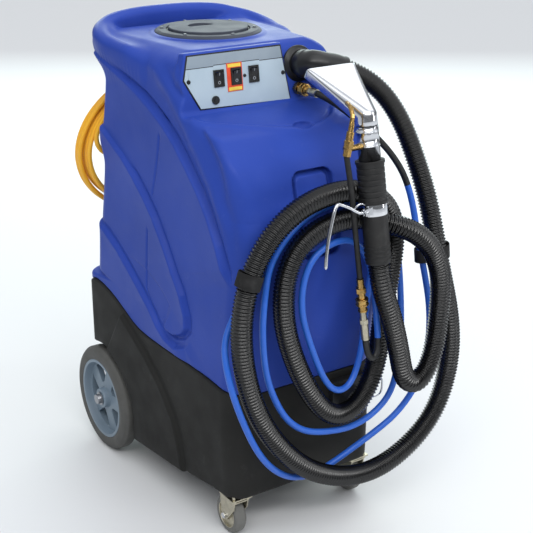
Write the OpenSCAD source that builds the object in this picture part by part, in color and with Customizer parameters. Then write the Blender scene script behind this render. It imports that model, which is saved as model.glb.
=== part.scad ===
// Spot extractor: a wheeled, moulded two-piece body with a recovery tank, a hand tool,
// a ribbed vacuum hose, a solution line and a coiled power cord. All sizes in millimetres.
// X is across the machine, -Y is its front, Z is up, and z = 0 is the floor.

/* [Wheels and casters] */
// Outer diameter of the rear wheels
wheel_d = 228; // [222:1:232]
// Width of the rear tyres
tyre_w = 40; // [36:1:42]
// Diameter of the rear axle
axle_d = 16; // [14:0.5:18]
// Diameter of the front caster wheels
caster_d = 76; // [72:1:80]
// Width of the front caster wheels
caster_w = 24; // [20:1:28]
// Distance between the two casters' swivel axes
caster_track = 276; // [268:2:280]

/* [Lid and panel] */
// Inner diameter of the tank mouth
mouth_d = 152; // [146:1:156]
// Outer diameter of the lid's fixed ring
ring_d = 204; // [198:1:210]
// Thickness of the switch panel
panel_t = 2; // [1.5:0.5:3]
// Width of a rocker switch
rocker_w = 21; // [20:0.5:23]
// Height of a rocker switch
rocker_h = 30; // [28:0.5:32]

/* [Hoses and cord] */
// Outer diameter of the vacuum hose over its ribs
hose_od = 39; // [37:0.5:39.5]
// Bore of the vacuum hose
hose_bore = 31; // [29:0.5:32]
// Outer diameter of the solution line
line_od = 12; // [10:0.5:12.5]
// Outer diameter of the power cord
cord_od = 10; // [9:0.5:10.5]

/* [Hand tool] */
// Outer diameter of the tool's steel tube
tube_d = 38.1; // [36:0.1:39]
// Width of the tool's suction mouth
tool_mouth_w = 102; // [94:1:110]
// Outer diameter of the tool's rubber grip
grip_d = 48; // [46:0.5:50]

/* [Hidden] */
$fn = 48;

// ---- rear wheels: axle line ----
axle_y = 248;
axle_z = wheel_d / 2;
axle_clear = 0.05;
wheel_in = 160;                      // inner face of a wheel
wheel_out = wheel_in + tyre_w;
tyre_h = 28;                         // tyre's section height
rim_r = wheel_d / 2 - tyre_h;
hub_r = 21;
well_r = wheel_d / 2 + 12;

// ---- casters ----
caster_y = -198;                     // swivel axis
caster_top = 88;                     // underside of the body at the casters
caster_trail = 16;
caster_z = caster_d / 2;
caster_plate_t = 3;

// ---- body profile, each row [z, front y, rear y, half width at front, half width at rear] ----
body_rows = [
    [50, -212, 296, 156, 184], [66, -222, 303, 161, 188], [90, -230, 306, 164, 190],
    [200, -235, 306, 166, 190], [305, -238, 306, 167, 190], [380, -250, 306, 168, 190],
    [396, -253, 306, 168, 190], [404, -254, 270, 168, 189], [455, -260, 260, 169, 189],
    [500, -266, 251, 169, 188], [540, -271, 243, 169, 188], [590, -273, 233, 169, 187],
    [621, -268, 227, 169, 186], [645, -260, 222, 169, 186], [667, -250, 217, 169, 185],
    [700, -243, 209, 169, 184], [731, -229, 202, 168, 183], [752, -210, 197, 168, 182],
    [770, -192, 192, 168, 182], [800, -156, 184, 168, 181], [821, -124, 180, 168, 180],
    [838, -98, 182, 168, 180], [852, -80, 198, 167, 180], [866, -68, 220, 166, 179],
    [880, -60, 234, 162, 176], [890, -52, 238, 150, 166], [898, -40, 232, 128, 148]];
function front_r(z) = lookup(z, [[88, 34], [306, 50]]);
rear_r = 36;
base_zs = [50, 66, 90, 130, 200, 305, 340, 380, 392];
tank_zs = [296, 340, 380, 396, 404, 455, 500, 540, 590, 621, 645, 667, 700, 731, 752, 770,
           800, 821, 838, 852, 866, 880, 890, 898];

function col(k) = [for (r = body_rows) [r[0], r[k]]];
function arc(cx, cy, r, a0, a1, n) =
    [for (i = [0:n]) let (a = a0 + (a1 - a0) * i / n) [cx + r * cos(a), cy + r * sin(a)]];
function half_ring(z) =
    let (yf = lookup(z, col(1)), yr = lookup(z, col(2)), wf = lookup(z, col(3)), wr = lookup(z, col(4)))
    concat(arc(wf - front_r(z), yf + front_r(z), front_r(z), -90, 0, 7),
           arc(wr - rear_r, yr - rear_r, rear_r, 0, 90, 5));
function ring(z) =
    let (h = half_ring(z), n = len(h))
    concat([for (p = h) [p[0], p[1], z]], [for (i = [n - 1:-1:0]) [-h[i][0], h[i][1], z]]);
module loft(zs) {
    n = len(ring(zs[0]));
    m = len(zs);
    polyhedron(
        [for (z = zs) each ring(z)],
        concat([[for (i = [n - 1:-1:0]) i]],
               [for (k = [0:m - 2], i = [0:n - 1], t = [0, 1])
                   let (a = k * n + i, b = k * n + (i + 1) % n, c = b + n, d = a + n)
                   t == 0 ? [a, c, b] : [a, d, c]],
               [[for (i = [0:n - 1]) (m - 1) * n + i]]));
}
// A prism across the machine from a side-view outline [[y, z], ...]
module across(pts, w, x0 = 0) {
    translate([x0 - w / 2, 0, 0]) rotate([90, 0, 90]) linear_extrude(w) polygon(pts);
}
module placed() { translate([0, -mid_y, 0]) children(); }
module both() { children(); mirror([1, 0, 0]) children(); }

// ---- seam between base and tank, in side view ----
seam = [[-340, 306], [-240, 306], [-205, 309], [-160, 315], [-119, 319], [-36, 324], [56, 325],
        [92, 329], [118, 337], [150, 352], [177, 364], [205, 374], [232, 381], [262, 384],
        [282, 379], [296, 368], [306, 352], [360, 352]];
under = [[360, 40], [200, 58], [60, 68], [-100, 80], [-160, caster_top], [-340, caster_top]];

// ---- panel plane: its top edge and tilt ----
panel_y = -72;
panel_z = 896;
panel_tilt = 7;
panel_pts = [[-149, -2], [43, -2], [58, -99], [-130, -94], [-159, -42]];
screw_at = [[-151, -45], [46, -50]];
rocker_x = [-90, -54, -17];
rocker_drop = 45;
breaker_at = [-100, -82];
pilot_at = [-36, -46];
inlet_at = [87, -38];
module on_panel() { translate([0, panel_y, panel_z]) rotate([90 - panel_tilt, 0, 0]) children(); }
function panel_pt(x, y, z) =
    [x, panel_y + y * sin(panel_tilt) - z * cos(panel_tilt),
     panel_z + y * cos(panel_tilt) + z * sin(panel_tilt)];
shelf_y = panel_pt(0, -101, 0)[1];
shelf_z = panel_pt(0, -101, 0)[2];
frame_lip = 2;
frame_t = 2.5;
switch_depth = 24;

// ---- lid ----
lid_c = [0, 104];
seat_rise = 2;                       // the mouth's boss over the deck
seat_z = body_rows[len(body_rows) - 1][0] + seat_rise;
ring_t = 6;
gasket_t = 1.5;
lid_clear = 0.6;
lid_skirt = 14;

// ---- cavities of the tank, side view and plan ----
cavity_pts = [[-236, 440], [-248, 500], [-252, 590], [-246, 630], [-224, 690], [-186, 742],
              [-150, 752], [-40, 756], [-34, 868], [186, 868], [180, 856], [168, 846],
              [168, 800], [190, 700], [214, 590], [238, 470], [242, 440]];
cavity_plan = [[-148, -205], [-120, -262], [120, -262], [148, -205], [168, 200], [150, 250],
               [-150, 250], [-168, 200]];
bay_plan = [[-156, -180], [-120, -226], [120, -226], [156, -180], [162, 100], [148, 120],
            [148, 290], [-148, 290], [-148, 120], [-162, 100]];
bay_floor = 98;
bay_top = 430;
tunnel_y0 = 222;
tunnel_z = 134;

// ---- front pocket, finger notch, port recess ----
pocket_w = 106;
pocket_x = -14;
pocket_z0 = 590;
pocket_z1 = 722;
pocket_deep = 8;
pocket_r = 26;
notch_x = 44;
notch_r = 38;
notch_z = 800;
port_r = 34;
port_deep = 10;

// ---- carrying loop at the rear of the deck ----
loop_pts = [[158, 60, 864], [172, 100, 876], [182, 140, 880], [188, 182, 887], [182, 222, 893], [160, 256, 899],
            [120, 279, 906], [62, 290, 912], [0, 292, 914]];
loop_w = 34;
loop_h = 30;

// ---- centreline helper: smooth curve through points, cut into m steps a span ----
function cr(a, b, c, d, t) =
    0.5 * (2 * b + (c - a) * t + (2 * a - 5 * b + 4 * c - d) * t * t
           + (3 * b - a - 3 * c + d) * t * t * t);
function smooth(p, m) =
    let (n = len(p))
    concat([for (i = [0:n - 2], k = [0:m - 1])
               cr(i == 0 ? 2 * p[0] - p[1] : p[i - 1], p[i], p[i + 1],
                  i == n - 2 ? 2 * p[n - 1] - p[n - 2] : p[i + 2], k / m)],
           [p[n - 1]]);
function running(p) =
    let (d = [for (i = [0:len(p) - 2]) norm(p[i + 1] - p[i])])
    [for (i = 0, s = 0; i < len(p); s = s + (i < len(d) ? d[i] : 0), i = i + 1) s];
function unit(v) = v / norm(v);
function tangent(p, i) = unit(p[min(i + 1, len(p) - 1)] - p[max(i - 1, 0)]);
// Normals carried along the curve without twist
function carried(p) =
    let (t0 = tangent(p, 0), n0 = unit(cross(t0, abs(t0[2]) < 0.9 ? [0, 0, 1] : [0, 1, 0])))
    [for (i = 0, v = n0; i < len(p);
          v = i + 1 < len(p) ? unit(v - (v * tangent(p, i + 1)) * tangent(p, i + 1)) : v,
          i = i + 1) v];
// Closed skin through rings of k points each; with a bore when the ring list holds two skins
module skin(pts, k, closed = false) {
    m = len(pts) / k;
    sides = [for (j = [0:m - (closed ? 1 : 2)], i = [0:k - 1], t = [0, 1])
                let (a = j * k + i, b = j * k + (i + 1) % k,
                     c = ((j + 1) % m) * k + (i + 1) % k, d = ((j + 1) % m) * k + i)
                t == 0 ? [a, b, c] : [a, c, d]];
    polyhedron(pts, closed ? sides
        : concat(sides, [[for (i = [k - 1:-1:0]) i]], [[for (i = [0:k - 1]) (m - 1) * k + i]]));
}
function ring_at(c, n, t, r, k) =
    [for (i = [0:k - 1]) let (a = -360 * i / k) c + r * (cos(a) * n + sin(a) * cross(t, n))];
module tube(p, r, k) {
    v = carried(p);
    skin([for (i = [0:len(p) - 1]) each ring_at(p[i], v[i], tangent(p, i), r, k)], k);
}

// ---- hand tool: tube axis from the head down to the hose ----
tool_top = [50, -320, 813];
tool_bot = [60, -354, 562];
tool_len = norm(tool_top - tool_bot);
tool_ax = unit(tool_top - tool_bot);
grip_z0 = 106;
grip_z1 = 180;
band_z0 = 86;
cuff_d = 45;
module on_tool() {
    translate(tool_bot) rotate([0, acos(tool_ax[2]), atan2(tool_ax[1], tool_ax[0])])
        rotate([0, 0, -atan2(tool_ax[1], tool_ax[0])]) children();
}
mid_y = (axle_y + wheel_d / 2 + tool_bot[1] - cuff_d / 2) / 2;    // middle of the depth

// ---- vacuum hose route, inlet cuff to tool cuff ----
hose_pts = [
    [148, -132, 850], [179, -147, 835], [210, -170, 804], [230, -200, 754], [243, -228, 690],
    [253, -254, 620], [260, -274, 545], [270, -288, 470], [284, -296, 400], [291, -300, 330],
    [284, -300, 256], [256, -300, 188], [200, -300, 138], [120, -300, 109], [36, -300, 118],
    [-44, -300, 160], [-108, -300, 226], [-154, -300, 304], [-180, -300, 390], [-187, -300, 476],
    [-172, -300, 556], [-132, -300, 624], [-70, -300, 668], [0, -298, 682], [60, -295, 676],
    [112, -296, 650], [138, -298, 604], [138, -299, 545], [124, -299, 460], [116, -299, 390],
    [106, -299, 328], [82, -299, 276], [44, -300, 248], [4, -300, 258], [-30, -300, 296],
    [-66, -300, 362], [-94, -300, 440], [-102, -300, 504], [-94, -300, 562], [-66, -300, 604],
    [-20, -300, 626], [26, -300, 632], [58, -302, 629], [82, -312, 624], [108, -338, 616],
    [150, -346, 596], [194, -346, 552], [216, -344, 496], [216, -344, 430], [206, -348, 366],
    [186, -352, 318], [156, -354, 298], [128, -356, 320], [112, -358, 380], [88, -361, 456],
    [66, -360, 512], tool_bot];
hose_ribs = 130;
hose_bore_rings = 60;
line_rings = 120;

// ---- solution line route, coupler on the panel to the coupler under the tool ----
line_pts = [
    [76, shelf_y - 61, 816], [84, -178, 808], [108, -206, 784], [140, -230, 750],
    [172, -243, 712], [198, -252, 668], [214, -260, 612], [222, -268, 552], [232, -278, 490],
    [244, -286, 410], [242, -290, 330], [220, -292, 264], [172, -292, 212], [120, -284, 178],
    [70, -272, 148], [20, -268, 128], [-40, -276, 130], [-100, -290, 164], [-148, -298, 220],
    [-184, -300, 296], [-208, -296, 376], [-204, -272, 440], [-178, -264, 486],
    [-158, -274, 530], [-140, -280, 574], [-116, -277, 622], [-70, -272, 661], [0, -270, 680],
    [52, -268, 677], [98, -267, 664], [134, -267, 640], [157, -268, 604], [167, -273, 556],
    [172, -279, 500], [176, -284, 420],
    [172, -290, 350], [150, -298, 270], [110, -298, 232], [60, -298, 218], [11, -298, 222],
    [-46, -298, 238], [-88, -298, 272], [-118, -298, 324], [-137, -298, 385],
    [-143, -298, 464], [-134, -292, 520], [-121, -284, 562], [-103, -285, 596],
    [-70, -285, 628], [-28, -282, 648], [20, -280, 655], [58, -276, 653], [84, -278, 630],
    [100, -284, 596], [98, -290, 540], [90, -290, 470], [84, -290, 410], [72, -294, 350],
    [46, -300, 306], [14, -302, 304], [-14, -302, 338], [-44, -302, 410], [-64, -302, 480],
    [-60, -302, 540], [-38, -302, 578], [0, -302, 594], [40, -304, 592], [64, -310, 566],
    [76, -320, 520], [78, -328, 470], [80, -334, 420], [78, -340, 386], [66, -343, 366],
    [54, -341, 378], [49.7, -338, 413]];

// ======================= moulded body =======================
module wells() {
    both() translate([wheel_in - 2, axle_y, axle_z]) rotate([0, 90, 0]) cylinder(r = well_r, h = 60);
}
module bay() {
    intersection() {
        across([[-226, bay_floor], [tunnel_y0, bay_floor], [tunnel_y0, tunnel_z], [296, tunnel_z],
                [296, 360], [258, 404], [240, bay_top], [-236, bay_top]], 330);
        linear_extrude(500) polygon(bay_plan);
    }
}
module base_housing() placed() color([0.16, 0.16, 0.15]) {
    difference() {
        union() {
            intersection() {
                loft(base_zs);
                across(concat(seam, under), 460);
            }
            both() intersection() {
                fender();
                across(concat([for (p = seam) [p[0], p[1] - 5]], under), 460);
            }
        }
        bay();
        wells();
        for (s = [-1, 1]) at_caster(s) caster_holes();
        translate([-wheel_in, axle_y, axle_z]) rotate([0, 90, 0])
            cylinder(d = axle_d + 2 * axle_clear, h = 2 * wheel_in);
    }
}
// Raised wheel-arch fender, its front edge a long curve
fender_t = 6;
module fender() {
    on_flank(base_flank, 6) rotate([90, 0, 90]) linear_extrude(6 + fender_t)
        polygon(concat([[300, 50], [300, 380], [150, 380]],
            [[130, 334], [98, 314], [66, 290], [36, 268], [8, 243], [-16, 216], [-36, 188],
             [-50, 154], [-60, 117], [-66, 76], [-66, 50]]));
}
// Curved grooves on the flanks, in side view
groove_paths = [
    [[170, 862], [142, 850], [92, 834], [47, 816], [0, 798], [-47, 772], [-94, 730],
     [-172, 652], [-232, 576]],
    [[208, 734], [160, 716], [117, 694], [80, 668], [42, 638], [-2, 603], [-45, 560],
     [-78, 500], [-107, 437], [-110, 410], [-98, 386], [-72, 368], [-44, 362], [-20, 366],
     [2, 384]],
    [[240, 532], [195, 518], [149, 495], [108, 468], [70, 439], [34, 410], [2, 384]]];
groove_w = 7;
groove_deep = 5;
// A frame on the right flank: x is out of it, y along it
tank_flank = [179, 2.6];
base_flank = [177, 3];
module on_flank(f, deep) { translate([f[0] - deep, 0, 0]) rotate([0, 0, -f[1]]) children(); }
module groove(p) {
    q = [for (v = p) [v[0], v[1], 0]];
    s = smooth(q, 2);
    n = len(s);
    off = [for (i = [0:n - 1]) let (t = tangent(s, i)) [-t[1], t[0], 0] * groove_w / 2];
    rotate([90, 0, 90]) linear_extrude(30)
        polygon(concat([for (i = [0:n - 1]) let (v = s[i] + off[i]) [v[0], v[1]]],
                       [for (i = [n - 1:-1:0]) let (v = s[i] - off[i]) [v[0], v[1]]]));
}
face_w = 322;
module face_cut() {
    across([[panel_y - 2, panel_z + 16], [panel_y, panel_z], [shelf_y, shelf_z],
            [-150, 784], [-230, 765], [-340, 765], [-340, 960], [panel_y - 2, 960]], face_w);
}
module tank_shell() {
    intersection() {
        union() {
            loft(tank_zs);
            carry_loop();
        }
        across(concat([for (i = [len(seam) - 1:-1:0]) seam[i]], [[-340, 990], [360, 990]]), 460);
    }
    translate([lid_c[0], lid_c[1], seat_z - 30]) cylinder(d = ring_d + 12, h = 30);
}
module carry_loop() {
    q = concat(loop_pts, [for (i = [len(loop_pts) - 2:-1:0])
        [-loop_pts[i][0], loop_pts[i][1], loop_pts[i][2]]]);
    s = smooth(q, 3);
    skin([for (i = [0:len(s) - 1])
        let (t = tangent(s, i), n = unit(cross(t, [0, 0, 1])), k = cross(t, n))
        each [for (j = [0:11]) let (a = -30 * j, ca = cos(a), sa = sin(a))
            s[i] + n * (loop_w / 2 * sign(ca) * pow(abs(ca), 0.8))
                 + k * (loop_h / 2 * sign(sa) * pow(abs(sa), 0.8))]], 12);
}
module tank_body() placed() color([0.16, 0.22, 0.62]) {
    difference() {
        tank_shell();
        face_cut();
        bay();
        intersection() {
            across(cavity_pts, 360);
            translate([0, 0, 400]) linear_extrude(520) polygon(cavity_plan);
        }
        translate([lid_c[0], lid_c[1], seat_z - 60]) cylinder(d = mouth_d, h = 100);
        translate([pipe_at[0], pipe_at[1], bay_top - 10])
            cylinder(d = pipe_d, h = cavity_pts[0][1] - bay_top + 20);
        both() on_flank(tank_flank, groove_deep) for (p = groove_paths) groove(p);
        on_panel() {
            translate([-118, -70, -30]) cube([118, 48, 31]);
            translate([breaker_at[0], breaker_at[1], -30]) cylinder(d = 16, h = 31);
            translate([inlet_at[0], inlet_at[1], -port_deep]) cylinder(r = port_r, h = 80);
            translate([inlet_at[0], inlet_at[1], -60]) cylinder(d = port_d + 1, h = 80);
            for (p = screw_at) translate([p[0], p[1], -14]) cylinder(d = 4.1, h = 20);
        }
        at_coupler() translate([0, 0, -25]) cylinder(d = 14.2, h = 60);
        // arched recess that follows the front face
        difference() {
            translate([pocket_x, -200, pocket_z0]) {
                translate([-pocket_w / 2, -100, 0])
                    cube([pocket_w, 100, pocket_z1 - pocket_z0 - pocket_r]);
                translate([pocket_r - pocket_w / 2, -100, 0])
                    cube([pocket_w - 2 * pocket_r, 100, pocket_z1 - pocket_z0]);
                for (x = [-1, 1])
                    translate([x * (pocket_w / 2 - pocket_r), 0, pocket_z1 - pocket_z0 - pocket_r])
                        rotate([90, 0, 0]) cylinder(r = pocket_r, h = 100);
            }
            translate([0, pocket_deep, 0]) loft(tank_zs);
        }
        // half-moon finger notch in the shelf's lip
        translate([notch_x, -160, notch_z]) rotate([90, 0, 0]) cylinder(r = notch_r, h = 100);
        for (p = ring_screws) translate([p[0], p[1], seat_z - 14]) cylinder(d = 4.1, h = 20);
    }
}

// ======================= rear wheels =======================
rim_w = 30;
module side_x(s) { if (s > 0) children(); else mirror([1, 0, 0]) children(); }
module tyre(s) color([0.11, 0.12, 0.12]) side_x(s) translate([wheel_in, axle_y, axle_z])
    rotate([0, 90, 0]) rotate_extrude($fn = 96) polygon([
        [rim_r, 2], [rim_r + 12, 0], [wheel_d / 2 - 6, 3], [wheel_d / 2, 10],
        [wheel_d / 2, tyre_w - 10], [wheel_d / 2 - 6, tyre_w - 3], [rim_r + 12, tyre_w],
        [rim_r, tyre_w - 2]]);
module tyre_left() placed() tyre(-1);
module tyre_right() placed() tyre(1);
spokes = 5;
module rim(s) color([0.32, 0.38, 0.44]) side_x(s) translate([wheel_in, axle_y, axle_z])
    rotate([0, 90, 0]) difference() {
        rotate_extrude($fn = 96) polygon([
            [axle_d / 2 + axle_clear, 0], [hub_r, 0], [hub_r + 2, 14], [rim_r - 12, 10],
            [rim_r - 9, 2], [rim_r, 2], [rim_r, tyre_w - 2], [rim_r - 6, tyre_w - 2],
            [rim_r - 10, 22], [hub_r + 2, 26], [hub_r, tyre_w - 2], [axle_d / 2 + axle_clear, tyre_w - 2]]);
        for (i = [0:spokes - 1]) rotate([0, 0, 360 / spokes * i + 18])
            translate([0, 0, -1]) linear_extrude(tyre_w + 2)
                polygon([[hub_r + 12, -5], [rim_r - 18, -27], [rim_r - 14, -15], [rim_r - 13, 0],
                         [rim_r - 14, 15], [rim_r - 18, 27], [hub_r + 12, 5]]);
    }
module rim_left() placed() rim(-1);
module rim_right() placed() rim(1);
axle_len = 2 * (wheel_out + 6);
module rear_axle() placed() color([0.6, 0.6, 0.62]) translate([-axle_len / 2, axle_y, axle_z])
    rotate([0, 90, 0]) cylinder(d = axle_d, h = axle_len);
module hub_cap(s) color([0.75, 0.76, 0.78]) side_x(s)
    translate([wheel_out - 1.7, axle_y, axle_z]) rotate([0, 90, 0]) difference() {
        union() {
            cylinder(d = axle_d + 12, h = 2.5);
            cylinder(d = axle_d + 5, h = 10);
        }
        translate([0, 0, -1]) cylinder(d = axle_d, h = 8.7);
    }
module hub_cap_left() placed() hub_cap(-1);
module hub_cap_right() placed() hub_cap(1);

// ======================= front casters =======================
king_d = 10;
fork_gap = 0.4;
fork_w = caster_w + 3;
leg_t = 2.5;
caster_axle_d = 8;
cap_z = caster_d + 2;
module at_caster(s) { translate([s * caster_track / 2, caster_y, 0]) children(); }
module caster_plates() placed() color([0.7, 0.68, 0.6]) for (s = [-1, 1]) at_caster(s) {
    difference() {
        translate([-22, -24, caster_top - caster_plate_t]) cube([44, 48, caster_plate_t]);
        caster_holes();
    }
    translate([0, 0, cap_z + 2]) cylinder(d = king_d, h = caster_top - cap_z - 3);
    translate([0, 0, cap_z + 1.6]) cylinder(d = king_d + 5, h = 2.4);
}
module caster_holes() {
    for (x = [-15, 15], y = [-17, 17]) translate([x, y, caster_top - 6])
        cylinder(d = bolt_d + 0.2, h = 6 + bolt_in);
}
bolt_d = 6;
bolt_in = 6;
module fork(s) color([0.72, 0.69, 0.6]) at_caster(s) difference() {
    union() {
        translate([0, 0, cap_z]) cylinder(d = 34, h = caster_top - caster_plate_t - fork_gap - cap_z);
        translate([-fork_w / 2 - leg_t, -20, cap_z]) cube([fork_w + 2 * leg_t, 50, 2.5]);
        for (x = [-1, 1]) translate([x * (fork_w / 2 + leg_t / 2) - leg_t / 2, 0, 0])
            rotate([90, 0, 90]) linear_extrude(leg_t)
                polygon([[-20, cap_z + 2.5], [-16, cap_z - 16], [caster_trail - 9, caster_z - 5],
                         [caster_trail - 4, caster_z - 9], [caster_trail + 4, caster_z - 9],
                         [caster_trail + 9, caster_z - 4], [30, cap_z - 12], [30, cap_z + 2.5]]);
    }
    translate([0, 0, cap_z - 10]) cylinder(d = king_d + 0.1, h = 40);
    translate([0, 0, cap_z - 1]) cylinder(d = king_d + 5.6, h = 5.1);
    translate([-40, caster_trail, caster_z]) rotate([0, 90, 0]) cylinder(d = caster_axle_d, h = 80);
}
module caster_fork_left() placed() fork(-1);
module caster_fork_right() placed() fork(1);
module caster_axle(s) color([0.75, 0.76, 0.78]) at_caster(s) translate([0, caster_trail, caster_z])
    rotate([0, 90, 0]) {
        cylinder(d = caster_axle_d, h = fork_w + 2 * leg_t, center = true);
        for (x = [-1, 1]) translate([0, 0, x * (fork_w / 2 + leg_t + 2)])
            cylinder(d = 13, h = 4, center = true, $fn = 6);
    }
module caster_axle_left() placed() caster_axle(-1);
module caster_axle_right() placed() caster_axle(1);
module caster_tyre(s) color([0.3, 0.31, 0.32]) at_caster(s) translate([0, caster_trail, caster_z])
    rotate([0, 90, 0]) rotate_extrude($fn = 72) polygon([
        [caster_d / 2 - 11, -caster_w / 2], [caster_d / 2 - 4, -caster_w / 2],
        [caster_d / 2, -caster_w / 2 + 5], [caster_d / 2, caster_w / 2 - 5],
        [caster_d / 2 - 4, caster_w / 2], [caster_d / 2 - 11, caster_w / 2]]);
module caster_tyre_left() placed() caster_tyre(-1);
module caster_tyre_right() placed() caster_tyre(1);
module caster_hub(s) color([0.55, 0.56, 0.58]) at_caster(s) translate([0, caster_trail, caster_z])
    rotate([0, 90, 0]) rotate_extrude($fn = 72) polygon([
        [caster_axle_d / 2 + 0.05, -caster_w / 2 - 1], [9, -caster_w / 2 - 1], [10, -caster_w / 2 + 4],
        [caster_d / 2 - 14, -caster_w / 2 + 4], [caster_d / 2 - 13, -caster_w / 2],
        [caster_d / 2 - 11, -caster_w / 2], [caster_d / 2 - 11, caster_w / 2],
        [caster_d / 2 - 13, caster_w / 2], [caster_d / 2 - 14, caster_w / 2 - 4],
        [10, caster_w / 2 - 4], [9, caster_w / 2 + 1], [caster_axle_d / 2 + 0.05, caster_w / 2 + 1]]);
module caster_hub_left() placed() caster_hub(-1);
module caster_hub_right() placed() caster_hub(1);

// ======================= lid =======================
rebate_d = mouth_d + 8;
rebate_z = seat_z + 2;
lid_z = rebate_z + gasket_t;
ring_edge = min(6, (ring_d - rebate_d) / 2 - 10);     // chamfer, limited by the ring's width
screw_circle = (ring_d + rebate_d) / 4 - ring_edge / 2; // middle of the ring's flat top
ring_screws = [for (i = [0:5]) let (a = 60 * i + 30)
    [lid_c[0] + screw_circle * cos(a), lid_c[1] + screw_circle * sin(a)]];
module at_lid(z) { translate([lid_c[0], lid_c[1], z]) children(); }
module lid_ring() placed() color([0.36, 0.37, 0.4]) difference() {
    at_lid(seat_z) rotate_extrude($fn = 96) polygon([
        [mouth_d / 2, 0], [ring_d / 2, 0], [ring_d / 2, 2], [ring_d / 2 - ring_edge, ring_t],
        [rebate_d / 2, ring_t], [rebate_d / 2, rebate_z - seat_z], [mouth_d / 2, rebate_z - seat_z]]);
    for (p = ring_screws) translate([p[0], p[1], seat_z - 1]) cylinder(d = 4.1, h = 20);
}
module lid_gasket() placed() color([0.05, 0.05, 0.05]) at_lid(rebate_z) difference() {
    cylinder(d = rebate_d - 1, h = gasket_t);
    translate([0, 0, -1]) cylinder(d = mouth_d + 1, h = gasket_t + 2);
}
module tank_lid() placed() color([0.34, 0.35, 0.38]) difference() {
    union() {
        at_lid(lid_z) cylinder(d = rebate_d - 2 * lid_clear, h = 4);
        at_lid(lid_z - lid_skirt) cylinder(d = mouth_d - 2 * lid_clear, h = lid_skirt + 1);
    }
    at_lid(lid_z - lid_skirt - 1) cylinder(d = mouth_d - 12, h = lid_skirt - 1);
    // finger recess
    difference() {
        at_lid(lid_z) translate([-8, 12, 0]) cylinder(d = 52, h = 20);
        at_lid(lid_z - 10) translate([-40, -46, 0]) cube([80, 54, 40]);
    }
}

// ======================= switch panel =======================
module screw(d, l) { cylinder(d = d, h = l); translate([0, 0, l]) cylinder(d1 = 2 * d, d2 = 1.5 * d, h = 2.2); }
module screws() placed() color([0.08, 0.08, 0.09]) {
    for (p = ring_screws) translate([p[0], p[1], seat_z - 12]) screw(4, 12 + ring_t);
    on_panel() for (p = screw_at) translate([p[0], p[1], -12]) screw(4, 12 + panel_t);
}
module control_panel() placed() color([0.82, 0.87, 0.92]) on_panel() difference() {
    linear_extrude(panel_t) polygon(panel_pts);
    for (x = rocker_x) translate([x - rocker_w / 2 + frame_lip, -rocker_drop - rocker_h / 2 + frame_lip, -1])
        cube([rocker_w - 2 * frame_lip, rocker_h - 2 * frame_lip, panel_t + 2]);
    translate([breaker_at[0], breaker_at[1], -1]) cylinder(d = 12, h = panel_t + 2);
    translate([pilot_at[0], pilot_at[1], -1]) cylinder(d = 4, h = panel_t + 2);
    for (p = screw_at) translate([p[0], p[1], -1]) cylinder(d = 4.1, h = panel_t + 2);
}
surround_t = 0.8;
module switch_surround() placed() color([0.85, 0.25, 0.12]) on_panel()
    translate([rocker_x[1], -rocker_drop, panel_t]) difference() {
        translate([-19, -26, 0]) cube([38 - 6, 50, surround_t]);
        translate([-rocker_w / 2 - 0.3, -rocker_h / 2 - 0.3, -1]) cube([rocker_w + 0.6, rocker_h + 0.6, 3]);
    }
module rocker_frames() placed() color([0.06, 0.06, 0.07]) on_panel() {
    for (x = rocker_x) translate([x, -rocker_drop, 0]) difference() {
        union() {
            translate([-rocker_w / 2, -rocker_h / 2, panel_t]) cube([rocker_w, rocker_h, frame_t]);
            translate([-rocker_w / 2 + frame_lip, -rocker_h / 2 + frame_lip, panel_t - switch_depth])
                cube([rocker_w - 2 * frame_lip, rocker_h - 2 * frame_lip, switch_depth]);
        }
        translate([-rocker_w / 2 + 3.5, -rocker_h / 2 + 3.5, panel_t - 10])
            cube([rocker_w - 7, rocker_h - 7, 20]);
    }
    translate([pilot_at[0], pilot_at[1], panel_t - 8]) cylinder(d = 4, h = 8);
    translate([pilot_at[0], pilot_at[1], panel_t]) cylinder(d1 = 6.5, d2 = 4.5, h = 2.5);
}
// A rocker stands with one end in; it turns about a line across its width
rock_deg = 9;
pivot_proud = 0.25;
rock_z = panel_t - 1;
module rocker(i) color([0.1, 0.1, 0.11]) on_panel()
    translate([rocker_x[i], -rocker_drop, rock_z]) rotate([rock_deg, 0, 0])
        rotate([90, 0, 90]) translate([0, 0, -(rocker_w - 7) / 2 + 0.4])
            {
                linear_extrude(rocker_w - 7.8) polygon([
                    [-rocker_h / 2 + 4.4, 0.5], [-rocker_h / 2 + 4.2, 4.6], [-4, 3.7], [4, 3.7],
                    [rocker_h / 2 - 4.2, 4.6], [rocker_h / 2 - 4.4, 0.5], [5, -5], [-5, -5]]);
                translate([0, 0, -pivot_proud]) cylinder(d = 2.6, h = rocker_w - 7.8 + 2 * pivot_proud);
            }
module rocker_left() placed() rocker(0);
module rocker_middle() placed() rocker(1);
module rocker_right() placed() rocker(2);
module breaker_body() placed() color([0.08, 0.08, 0.09]) on_panel()
    translate([breaker_at[0], breaker_at[1], 0]) difference() {
        union() {
            translate([0, 0, panel_t]) cylinder(d = 15, h = 2.5);
            translate([0, 0, -22]) cylinder(d = 12, h = 24);
        }
        translate([0, 0, -12]) cylinder(d = 7.1, h = 30);
    }
module breaker_button() placed() color([0.12, 0.12, 0.13]) on_panel()
    translate([breaker_at[0], breaker_at[1], -8]) cylinder(d = 7, h = 13.5);

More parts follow.
